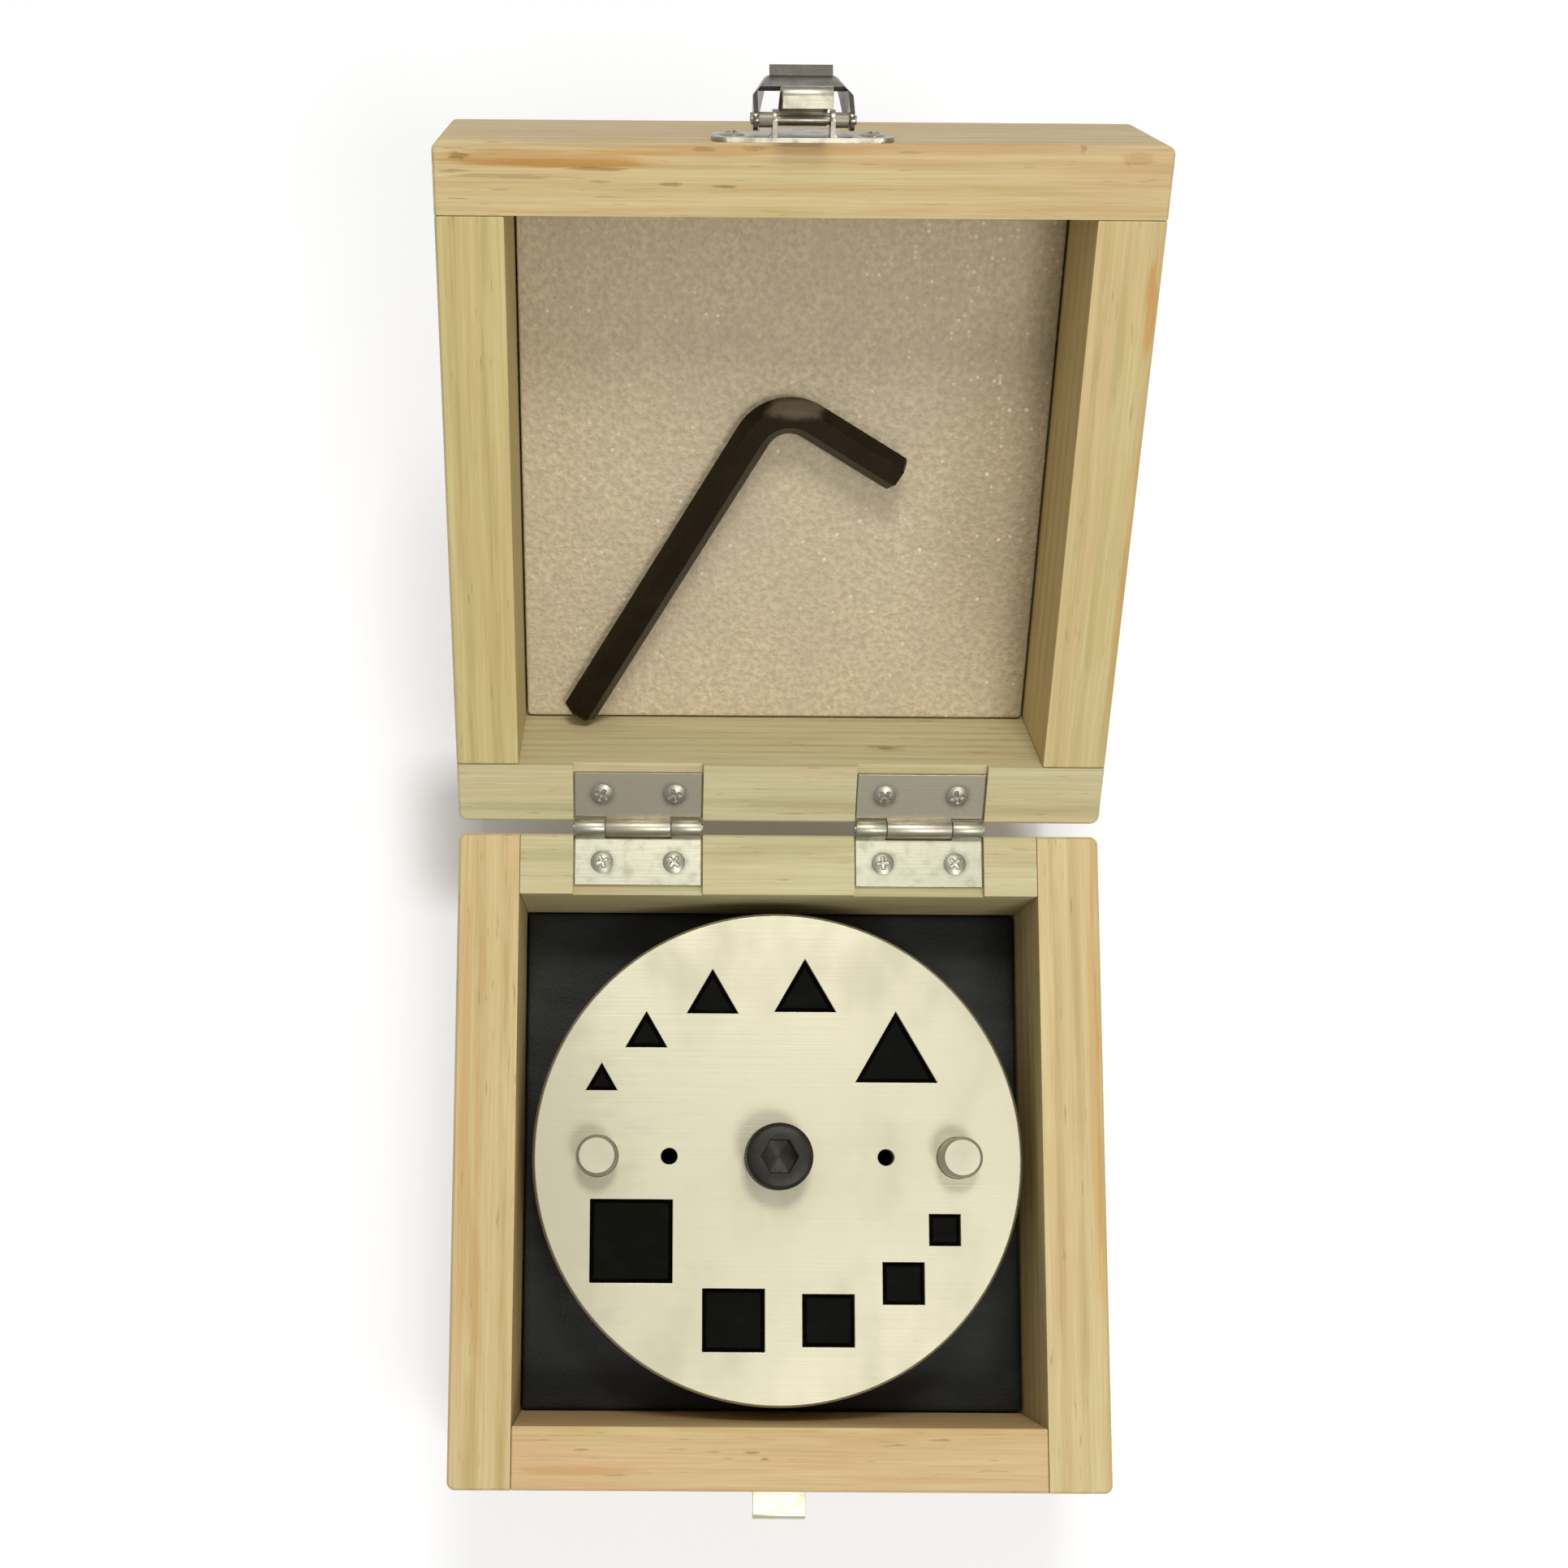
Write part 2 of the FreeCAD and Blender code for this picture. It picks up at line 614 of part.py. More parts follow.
# ---------------------------------------------------------------- hex key, built as it lies with the lid shut
def hex_key():
    """Two hexagonal arms and a quarter bend, lying on its flats on the lid's foam."""
    z = lid_foam_face - key_foam_gap - hex_size / 2
    turn = math.radians(key_angle)
    to_end = V(-math.cos(turn), math.sin(turn), 0)
    to_tip = V(math.sin(turn), math.cos(turn), 0)
    corner = V(key_end_x, half_outer - key_end_in, z) - to_end * key_long
    long_start = corner + to_end * key_bend_radius
    tip_start = corner + to_tip * key_bend_radius
    long_arm = key_arm(long_start, to_end, key_long - key_bend_radius)
    short_arm = key_arm(tip_start, to_tip, key_short - key_bend_radius)
    centre = long_start + to_tip * key_bend_radius
    section = hexagon(long_start, hex_size, to_end, Z_AXIS)
    bend = section.revolve(centre, Z_AXIS, -90)
    if not key_reaches(bend, tip_start):
        bend = section.revolve(centre, Z_AXIS, 90)
    return clean(long_arm.fuse([bend, short_arm]))


def key_arm(start, along, length):
    """A hexagonal bar with a chamfered free end."""
    bar = hexagon(start, hex_size, along, Z_AXIS).extrude(along * length)
    end = start + along * length
    end_edges = [e for e in bar.Edges if all((v.Point - end).dot(along) > -tiny for v in e.Vertexes)]
    return bar.makeChamfer(key_chamfer, end_edges)


def key_reaches(shape, point):
    return shape.distToShape(Part.Vertex(point))[0] < close


# ---------------------------------------------------------------- build
def build_die_set():
    save("die_plate", die_plate())
    save("guide_plate", guide_plate())
    save("guide_pin_left", guide_pin(-1))
    save("guide_pin_right", guide_pin(1))
    save("clamp_screw", clamp_screw())
    for node, *hole in shaped_holes():
        save(node, punch(*hole))


def build_base():
    ring = wall_ring(0, rim, 0, floor_thickness)
    parts = rails(ring, 0, rim, True)
    save("base_side_rail_left", parts["long_low"])
    save("base_side_rail_right", parts["long_high"])
    strike_holes = pilot_holes(strike_screw_places(), FRONT, strike_sheet)
    save("base_front_rail", parts["short_low"].cut(strike_holes))
    save("base_back_rail", parts["short_high"].cut(hinge_cuts(1)))
    panel_half = half_inner + rebate - joint_gap
    save("base_floor_panel", panel_block(panel_half, 0, floor_thickness - joint_gap))
    foam_half = half_inner - foam_side_gap
    save("base_foam_pad", panel_block(foam_half, floor_thickness, foam_top))


def build_lid():
    ring = wall_ring(lid_rim, lid_top, lid_panel_face, lid_top)
    parts = rails(ring, lid_rim, lid_top, False)
    latch_holes = pilot_holes(latch_screw_places(), FRONT, latch_sheet)
    save("lid_front_rail", open_lid(parts["long_low"].cut(latch_holes)))
    save("lid_hinge_rail", open_lid(parts["long_high"].cut(hinge_cuts(-1))))
    save("lid_side_rail_left", open_lid(parts["short_low"]))
    save("lid_side_rail_right", open_lid(parts["short_high"]))
    panel_half = half_inner + rebate - joint_gap
    save("lid_panel", open_lid(panel_block(panel_half, lid_panel_face + joint_gap, lid_top)))
    foam_half = half_inner - foam_side_gap
    save("lid_foam_sheet", open_lid(panel_block(foam_half, lid_foam_face, lid_panel_face)))


def build_hinges():
    base_screws = []
    lid_screws = []
    for side, name in ((-1, "left"), (1, "right")):
        save("hinge_base_leaf_" + name, hinge_leaf(side, 1))
        save("hinge_lid_leaf_" + name, open_lid(hinge_leaf(side, -1)))
        save("hinge_pin_" + name, hinge_pin(side))
        base_screws += [wood_screw(p, Z_AXIS, leaf_thickness) for p in hinge_screw_places(side, 1)]
        lid_screws += [wood_screw(p, -Z_AXIS, leaf_thickness) for p in hinge_screw_places(side, -1)]
    save("hinge_base_screws", Part.makeCompound(base_screws))
    save("hinge_lid_screws", open_lid(Part.makeCompound(lid_screws)))


def build_latch():
    save("latch_plate", open_lid(latch_plate()))
    screws = [wood_screw(p, FRONT, latch_sheet) for p in latch_screw_places()]
    save("latch_screws", open_lid(Part.makeCompound(screws)))
    save("latch_lever_pin", open_lid(latch_pin(lever_pivot)))
    save("latch_lever", rest_lever(latch_lever()))
    save("latch_hook_pin", rest_lever(latch_pin(hook_pivot)))
    save("latch_hook", rest_hook(latch_hook()))
    save("latch_strike", latch_strike())
    strike_screws = [wood_screw(p, FRONT, strike_sheet) for p in strike_screw_places()]
    save("strike_screws", Part.makeCompound(strike_screws))


def build():
    os.makedirs("parts", exist_ok=True)
    build_die_set()
    build_base()
    build_lid()
    build_hinges()
    build_latch()
    save("hex_key", open_lid(hex_key()))


build()
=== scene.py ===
import bpy
import json
import math
import mathutils
import numpy as np
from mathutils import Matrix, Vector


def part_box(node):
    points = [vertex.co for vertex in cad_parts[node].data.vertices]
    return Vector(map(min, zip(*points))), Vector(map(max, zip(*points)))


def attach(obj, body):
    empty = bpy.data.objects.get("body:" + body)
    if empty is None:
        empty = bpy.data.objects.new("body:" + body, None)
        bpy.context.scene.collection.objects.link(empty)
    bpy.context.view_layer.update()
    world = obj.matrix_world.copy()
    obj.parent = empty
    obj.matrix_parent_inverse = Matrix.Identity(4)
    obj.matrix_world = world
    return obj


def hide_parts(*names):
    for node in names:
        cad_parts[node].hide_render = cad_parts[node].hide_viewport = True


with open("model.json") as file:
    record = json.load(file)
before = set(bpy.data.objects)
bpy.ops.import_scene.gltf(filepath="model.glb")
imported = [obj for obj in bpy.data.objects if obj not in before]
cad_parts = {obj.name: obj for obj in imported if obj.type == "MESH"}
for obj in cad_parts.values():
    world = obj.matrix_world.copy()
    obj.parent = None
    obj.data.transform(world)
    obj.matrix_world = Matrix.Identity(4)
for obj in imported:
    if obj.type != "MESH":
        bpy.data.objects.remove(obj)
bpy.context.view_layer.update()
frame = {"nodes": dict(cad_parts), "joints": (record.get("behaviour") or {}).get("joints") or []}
nodes = frame["nodes"]
mm = 0.001

# the lid is drawn standing open; its finishes, foam and screws are laid out where it lies when shut
hingeJoint = next(joint for joint in frame["joints"] if joint["name"] == "lid_hinge")
lidHinge = {
    "y": hingeJoint["pos_m"][1],
    "z": hingeJoint["pos_m"][2],
    "openAngle": math.radians(hingeJoint["range_deg"][0]),
}


# a hex sRGB colour as the linear numbers that a shader takes
def linearColour(code):
    values = np.array([int(code[i:i + 2], 16) for i in (1, 3, 5)]) / 255
    linear = np.where(values <= 0.04045, values / 12.92, ((values + 0.055) / 1.055) ** 2.4)
    return (*linear.tolist(), 1.0)


# one node: a setting is an input, by name or number, or a property of the node, and a link brings in
# another node's output
def addNode(tree, kind, settings=None, links=None):
    node = tree.nodes.new("ShaderNode" + kind)
    for key, value in (settings or {}).items():
        if isinstance(key, int) or key in node.inputs:
            node.inputs[key].default_value = value
        else:
            setattr(node, key, value)
    for key, socket in (links or {}).items():
        tree.links.new(socket, node.inputs[key])
    return node


# a new material with its tree and its surface shader
def newFinish(name, settings):
    finish = bpy.data.materials.new(name)
    finish.use_nodes = True
    tree = finish.node_tree
    tree.nodes.clear()
    shader = addNode(tree, "BsdfPrincipled", settings)
    addNode(tree, "OutputMaterial", {}, {"Surface": shader.outputs[0]})
    return finish, tree, shader


# puts a finish on a node that came with the frame
def dress(node, finish):
    nodes[node].data.materials.clear()
    nodes[node].data.materials.append(finish)


# the place on a piece, turned back about the hinge if it is on the lid, then turned about the upright axis
def objectPlace(tree, onLid=False, turn=0.0):
    place = addNode(tree, "TexCoord").outputs["Object"]
    if onLid:
        back = -lidHinge["openAngle"]
        c, s = math.cos(back), math.sin(back)
        y, z = lidHinge["y"], lidHinge["z"]
        shift = (0, y - (y * c - z * s), z - (y * s + z * c))
        settings = {"Rotation": (back, 0, 0), "Location": shift}
        place = addNode(tree, "Mapping", settings, {"Vector": place}).outputs[0]
    return addNode(tree, "Mapping", {"Rotation": (0, 0, turn)}, {"Vector": place}).outputs[0]


# the place pushed about by slow noise with swells of these sizes, so that what is drawn there wanders by
# the sway
def wavyPlace(tree, place, swells, sway, seed):
    scaled = addNode(tree, "Mapping", {"Scale": tuple(1 / size for size in swells)}, {"Vector": place})
    settings = {"noise_dimensions": "4D", "W": seed, "Scale": 1.0, "Detail": 2.0}
    noise = addNode(tree, "TexNoise", settings, {"Vector": scaled.outputs[0]})
    settings = {"operation": "SUBTRACT", 1: (0.5, 0.5, 0.5)}
    centred = addNode(tree, "VectorMath", settings, {0: noise.outputs["Color"]})
    settings = {"operation": "MULTIPLY_ADD", 1: sway}
    return addNode(tree, "VectorMath", settings, {0: centred.outputs[0], 2: place}).outputs[0]


# patches from 0 to 1: noise whose features have these sizes, 0 below the first edge and 1 above the second
def patches(tree, place, sizes, edges, seed, detail=3.0):
    scaled = addNode(tree, "Mapping", {"Scale": tuple(1 / size for size in sizes)}, {"Vector": place})
    settings = {"noise_dimensions": "4D", "W": seed, "Scale": 1.0, "Detail": detail, "Roughness": 0.58}
    noise = addNode(tree, "TexNoise", settings, {"Vector": scaled.outputs[0]})
    settings = {"interpolation_type": "SMOOTHSTEP", "From Min": edges[0], "From Max": edges[1]}
    return addNode(tree, "MapRange", settings, {"Value": noise.outputs["Fac"]}).outputs[0]


# one soft oval: 1 out to about 0.4 of its half sizes and 0 past them, with its border frayed by a share of
# another mask
def oval(tree, place, centre, sizes, other=None, fray=0.0):
    settings = {"vector_type": "TEXTURE", "Location": centre, "Scale": sizes}
    local = addNode(tree, "Mapping", settings, {"Vector": place})
    links = {"Vector": local.outputs[0]}
    inside = addNode(tree, "TexGradient", {"gradient_type": "SPHERICAL"}, links).outputs["Fac"]
    if other:
        settings = {"operation": "MULTIPLY_ADD", 1: fray}
        inside = addNode(tree, "Math", settings, {0: other, 2: inside}).outputs[0]
    settings = {"interpolation_type": "SMOOTHSTEP", "From Min": fray, "From Max": 0.6 + fray / 2}
    return addNode(tree, "MapRange", settings, {"Value": inside}).outputs[0]


# lays one colour over another where the mask is 1, as thickly as the share says
def layer(tree, under, over, mask, share=1.0, blend="MIX"):
    amount = addNode(tree, "Math", {"operation": "MULTIPLY", 1: share}, {0: mask}).outputs[0]
    settings = {"data_type": "RGBA", "blend_type": blend, 7: linearColour(over)}
    links = {0: amount}
    if isinstance(under, str):
        settings[6] = linearColour(under)
    else:
        links[6] = under
    return addNode(tree, "Mix", settings, links).outputs[2]


# multiplies a colour by a shade wherever the fibres are low
def shadeBetween(tree, colour, shade, fibres, share):
    low = addNode(tree, "Math", {"operation": "SUBTRACT", 0: 1.0}, {1: fibres}).outputs[0]
    return layer(tree, colour, shade, low, share, "MULTIPLY")


# joins a colour, a height and, for a mask from 0 to 1, a roughness between two values to the shader
def surface(tree, shader, colour, height, depth, rough=None):
    tree.links.new(colour, shader.inputs["Base Color"])
    bump = addNode(tree, "Bump", {"Strength": 1.0, "Distance": depth}, {"Height": height})
    tree.links.new(bump.outputs[0], shader.inputs["Normal"])
    if rough:
        mask, low, high = rough
        spread = addNode(tree, "MapRange", {"To Min": low, "To Max": high}, {"Value": mask})
        tree.links.new(spread.outputs[0], shader.inputs["Roughness"])


# each pattern below has its feature sizes along, across and up, and the edges of its patches
pine = {
    "bare": {"Roughness": 0.62, "IOR": 1.5, "Specular IOR Level": 0.3},
    "swells": (60 * mm, 16 * mm, 16 * mm), "sway": (2 * mm, 1.3 * mm, 1.3 * mm),
    "ringSpacing": 3.2 * mm, "ringReach": 250 * mm,             # close across the log, and far along it
    "rings": {"wave_type": "RINGS", "Scale": 1.0, "Distortion": 2.5, "Detail": 2.0, "Detail Scale": 0.7},
    "lateFrom": 0.35, "lateShare": 0.58,
    "gaps": ((24 * mm, 2.4 * mm, 2.4 * mm), (0.3, 0.62)),       # where the late wood fades out
    "clouds": ((55 * mm, 6 * mm, 8 * mm), (0.38, 0.68)),        # warmer wood
    "fibres": ((24 * mm, 0.5 * mm, 0.5 * mm), (0.2, 0.8)),      # drawn coarser than life, or none would show
    "fibreShade": "#E2DACA", "fibreShare": 0.7, "fibreDepth": 0.05 * mm,
    "ticks": ((7 * mm, 0.5 * mm, 0.9 * mm), (0.63, 0.74)),      # short dark flecks
    "tickColour": "#8F7446", "tickShare": 0.55,
    "markFray": 0.5, "finestFray": 0.6 * mm, "frayEdges": (0.25, 0.75),
    "markLeast": 0.25, "markByFibre": 0.6, "markByLate": 0.8,   # a mark follows the fibres and the late wood
}


# radiata pine, planed and sanded but left bare: pale straw yellow with soft growth rings, dull as it is dry.
# The rings are waves of the distance from the pith, which lies outside the board, so faces and end grain
# agree. Patches of noise add warmer clouds, gaps in the late wood, fibres and short dark flecks
def pineBoard(name, alongX, pith, seed, early, late, warm, onLid=False, marks=()):
    finish, tree, shader = newFinish(name, pine["bare"])
    place = objectPlace(tree, onLid, 0.0 if alongX else -math.pi / 2)
    wavy = wavyPlace(tree, place, pine["swells"], pine["sway"], seed)
    ringUnit = pine["ringSpacing"] * 20 / (2 * math.pi)      # the wave node turns 20 radians in each unit
    pithLine = (0, pith[0] * mm, pith[1] * mm)
    stretch = (pine["ringReach"], ringUnit, ringUnit)
    settings = {"vector_type": "TEXTURE", "Location": pithLine, "Scale": stretch}
    log = addNode(tree, "Mapping", settings, {"Vector": wavy})
    rings = addNode(tree, "TexWave", pine["rings"], {"Vector": log.outputs[0]}).outputs["Fac"]
    lateWood = addNode(tree, "MapRange", {"From Min": pine["lateFrom"], "From Max": 1.0}, {"Value": rings})
    gaps = patches(tree, wavy, *pine["gaps"], seed + 9)
    links = {0: lateWood.outputs[0], 1: gaps}
    lateWood = addNode(tree, "Math", {"operation": "MULTIPLY"}, links).outputs[0]
    clouds = patches(tree, place, *pine["clouds"], seed + 3)
    fibres = patches(tree, place, *pine["fibres"], seed + 5, 4.0)
    ticks = patches(tree, place, *pine["ticks"], seed + 7, 2.0)
    colour = layer(tree, early, warm, clouds)
    colour = layer(tree, colour, late, lateWood, pine["lateShare"])
    colour = layer(tree, colour, pine["tickColour"], ticks, pine["tickShare"])
    settings = {"operation": "MULTIPLY_ADD", 1: pine["markByFibre"], 2: pine["markLeast"]}
    byFibre = addNode(tree, "Math", settings, {0: fibres}).outputs[0]
    settings = {"operation": "MULTIPLY_ADD", 1: pine["markByLate"]}
    uneven = addNode(tree, "Math", settings, {0: lateWood, 2: byFibre}).outputs[0]
    for number, (along, across, up, sizes, stainAndShade, share) in enumerate(marks):
        half = tuple(size * mm for size in sizes)
        frayed = (half[0] / 2, min(half[1] / 2, pine["finestFray"]), half[2] / 2)
        ragged = patches(tree, place, frayed, pine["frayEdges"], number)
        mask = oval(tree, wavy, (along * mm, across * mm, up * mm), half, ragged, pine["markFray"])
        settings = {"operation": "MULTIPLY", "use_clamp": True}
        mask = addNode(tree, "Math", settings, {0: mask, 1: uneven}).outputs[0]
        colour = layer(tree, colour, stainAndShade, mask, share)
    colour = shadeBetween(tree, colour, pine["fibreShade"], fibres, pine["fibreShare"])
    surface(tree, shader, colour, fibres, pine["fibreDepth"])
    return finish


# Each board comes from its own place in its log. Places are in mm with the case shut: along the board, across
# it and up, where across is back on a board along X and to the left on one along Y. The pith is (across, up).
# A mark, such as a resin streak, a fleck, the small knot or a patch of painted shade, is along, across, up,
# half sizes, colour, share
resin, pitchFleck, umber, brownFleck = "#BE8E48", "#8C7A48", "#7A5A30", "#8A7340"
boards = {
    "base_side_rail_left": {
        "alongX": False, "pith": (112, -20), "seed": 1.0,
        "early": "#D0BE8A", "late": "#B59C62", "warm": "#CFB684",
        "marks": [
            (10, 61.0, 50, (85, 1.7, 8), "#C3934F", 0.7),
            (-20, 58.2, 50, (60, 0.7, 5), "#C79C5E", 0.6),
        ],
    },
    "base_side_rail_right": {
        "alongX": False, "pith": (-118, -10), "seed": 2.3,
        "early": "#D2C18F", "late": "#B9A067", "warm": "#D2B787",
        "marks": [
            (15, -61.2, 50, (70, 1.6, 9), "#C8954F", 0.75),
            (25, -57.0, 50, (30, 0.6, 3), "#C9A565", 0.6),
        ],
    },
    "base_front_rail": {
        "alongX": True, "pith": (-45, -80), "seed": 3.1,
        "early": "#D1BA88", "late": "#BC9A63", "warm": "#D3B084",
        "marks": [
            (-38, -59.2, 50, (22, 1.4, 5), resin, 0.75),
            (-37.3, -55.3, 50, (2.6, 0.45, 2), pitchFleck, 0.8),
            (-5.5, -55.7, 50, (2.4, 0.5, 2), pitchFleck, 0.8),
            (-3.0, -56.9, 50, (1.2, 0.5, 2), umber, 0.8),
            (30, -60.5, 50, (30, 1.0, 5), "#C79A5A", 0.6),
        ],
    },
    "base_back_rail": {
        "alongX": True, "pith": (30, -60), "seed": 4.7,
        "early": "#C9C297", "late": "#A89E6C", "warm": "#C9BC90",
    },
    "lid_front_rail": {
        "alongX": True, "pith": (-90, 30), "seed": 5.2, "onLid": True,
        "early": "#D2C08E", "late": "#BFA36A", "warm": "#D1B486",
        "marks": [
            (-42, -60.6, 50.3, (32, 2.3, 9), resin, 0.95),
            (-10, -61.9, 50.3, (34, 1.5, 8), "#C0924E", 0.9),
            (24, -62.4, 50.3, (44, 1.2, 8), "#C89A62", 0.8),
            (-50, -57.6, 50.3, (14, 0.6, 4), umber, 0.7),
            (-58.5, -60.8, 50.3, (3.2, 0.9, 3), umber, 0.85),
            (-59.5, -58.3, 50.3, (5, 0.45, 3), umber, 0.7),
            (-35, -59.0, 50.3, (9, 0.5, 3), "#97702F", 0.8),
            (-35.1, -56.9, 50.3, (2.6, 0.4, 2), pitchFleck, 0.75),
            (-22.6, -56.6, 50.3, (3.4, 0.5, 2), pitchFleck, 0.8),
            (-13.6, -56.3, 50.3, (3.4, 0.4, 2), pitchFleck, 0.75),
            (-17.2, -62.2, 50.3, (3.6, 0.6, 2), brownFleck, 0.8),
            (-8.6, -62.2, 50.3, (3.4, 0.6, 2), brownFleck, 0.8),
            (0, -63.6, 68, (190, 2.4, 60), "#AC9A7E", 0.5),      # painted shade: the outer face is darker, where it lies in shade
            (47.2, -62.6, 50.3, (1.0, 1.3, 2), "#A87440", 0.7),
            (56.5, -61.0, 50.3, (4, 1.8, 4), "#B98A50", 0.7),
        ],
    },
    "lid_hinge_rail": {
        "alongX": True, "pith": (30, 140), "seed": 6.4, "onLid": True,
        "early": "#CDC59C", "late": "#B0A576", "warm": "#CDBF94",
        "marks": [
            (21.4, 51.0, 59.9, (2.6, 5, 1.2), "#6E5736", 0.9),
            (21.4, 51.0, 59.9, (6, 5, 2.6), "#A58C5C", 0.6),
        ],
    },
    "lid_side_rail_left": {
        "alongX": False, "pith": (108, 120), "seed": 7.9, "onLid": True,
        "early": "#CDBE86", "late": "#B3A062", "warm": "#CBB67F",
    },
    "lid_side_rail_right": {
        "alongX": False, "pith": (-122, 110), "seed": 8.8, "onLid": True,
        "early": "#CFC089", "late": "#B4A265", "warm": "#D0B886",
        "marks": [
            (-36, -61.6, 50.3, (14, 1.5, 9), "#C99657", 0.8),
            (10, -62.4, 50.3, (50, 0.9, 8), "#C8A061", 0.6),
        ],
    },
}
for node, cut in boards.items():
    label = "radiataPine" + "".join(word.title() for word in node.split("_"))
    dress(node, pineBoard(label, **cut))


ply = {
    "sanded": {"Roughness": 0.6, "IOR": 1.5, "Specular IOR Level": 0.3},
    "swells": (90 * mm, 22 * mm, 22 * mm), "sway": (0, 9 * mm, 0),
    "flames": {"bands_direction": "Y", "Scale": 38.0, "Distortion": 3.5, "Detail": 2.0, "Detail Scale": 0.6},
    "flameStretch": 5,                                          # long, and about 8 mm apart
    "early": "#D3C193", "late": "#BC9F6C", "lateShare": 0.55,
    "fibres": ((30 * mm, 0.6 * mm, 0.6 * mm), (0.2, 0.8)),
    "fibreShade": "#DCD3C0", "fibreShare": 0.8, "fibreDepth": 0.05 * mm,
}


# thin pine plywood, sanded: rotary-cut veneer, whose growth rings open into long flames
def pinePly(name, onLid, seed):
    finish, tree, shader = newFinish(name, ply["sanded"])
    place = wavyPlace(tree, objectPlace(tree, onLid), ply["swells"], ply["sway"], seed)
    drawnOut = addNode(tree, "Mapping", {"Scale": (1 / ply["flameStretch"], 1, 1)}, {"Vector": place})
    flames = addNode(tree, "TexWave", ply["flames"], {"Vector": drawnOut.outputs[0]}).outputs["Fac"]
    fibres = patches(tree, place, *ply["fibres"], seed + 2, 4.0)
    colour = layer(tree, ply["early"], ply["late"], flames, ply["lateShare"])
    colour = shadeBetween(tree, colour, ply["fibreShade"], fibres, ply["fibreShare"])
    surface(tree, shader, colour, fibres, ply["fibreDepth"])
    return finish


dress("base_floor_panel", pinePly("pinePlywoodBase", False, 1.0))
dress("lid_panel", pinePly("pinePlywoodLid", True, 2.0))
print("boards dressed")


# from here a pattern that stands alone is one row: feature sizes, patch edges, seed and, if not 3, its detail
padFoam = {
    "skin": {"Roughness": 0.5, "IOR": 1.48, "Specular IOR Level": 0.25},
    "cell": 0.6 * mm, "cellDepth": 0.03 * mm,
    "sheen": ((22 * mm, 9 * mm, 9 * mm), (0.4, 0.7), 4.0), "dark": "#121310", "pale": "#242521",
    "dust": ((1.3 * mm,) * 3, (0.72, 0.78), 8.0, 2.0), "dustColour": "#4C4F4A", "dustShare": 0.3,
}


# closed-cell EVA foam, knife-cut: nearly black, a faint sheen, a skin of cells about half a millimetre wide.
# Its bumps are the distance to the nearest cell's middle, and noise adds the sheen and the dust
def evaFoam():
    finish, tree, shader = newFinish("closedCellEvaFoam", padFoam["skin"])
    place = objectPlace(tree)
    scaled = addNode(tree, "Mapping", {"Scale": (1 / padFoam["cell"],) * 3}, {"Vector": place})
    cells = addNode(tree, "TexVoronoi", {"Scale": 1.0}, {"Vector": scaled.outputs[0]})
    colour = layer(tree, padFoam["dark"], padFoam["pale"], patches(tree, place, *padFoam["sheen"]))
    dust = patches(tree, place, *padFoam["dust"])
    colour = layer(tree, colour, padFoam["dustColour"], dust, padFoam["dustShare"])
    surface(tree, shader, colour, cells.outputs["Distance"], padFoam["cellDepth"])
    return finish


sheetFoam = {
    "skin": {"Roughness": 0.55, "IOR": 1.5, "Specular IOR Level": 0.35},
    "cell": 1.1 * mm, "depth": 0.15 * mm,
    "mottle": ((1.2 * mm,) * 3, (0.26, 0.74), 1.0), "dark": "#B2A486", "pale": "#D3C3A1",
    "tints": [
        (((6 * mm, 7 * mm, 6 * mm), (0.4, 0.7), 21.0), "#B8A891", 0.4),
        (((22 * mm,) * 3, (0.35, 0.7), 2.0), "#BEAE93", 0.3),
        (((0.8 * mm,) * 3, (0.62, 0.74), 12.0, 2.0), "#8F846C", 0.5),     # open pits, painted darker: painted shade in them
    ],
    # painted shadow: an oval by the right rail darkens the foam, for the rail's shadow on it
    "worn": ((58 * mm, 4 * mm, 76 * mm), (36 * mm, 60 * mm, 30 * mm)),
    "wornColour": "#CFCABD", "wornShare": 0.6,
    "coreEdges": (0.58, 0.28), "raggedness": 0.3,      # a glint covers the core of its cell
    "few": (0.955, 0.99), "many": (0.8, 0.92),         # the draws that glint, all over and in one corner
    "corner": ((52 * mm, -44 * mm, 75 * mm), (50 * mm, 60 * mm, 40 * mm)),
    "glintColour": "#EFE2D0", "glintShare": 0.75,
}


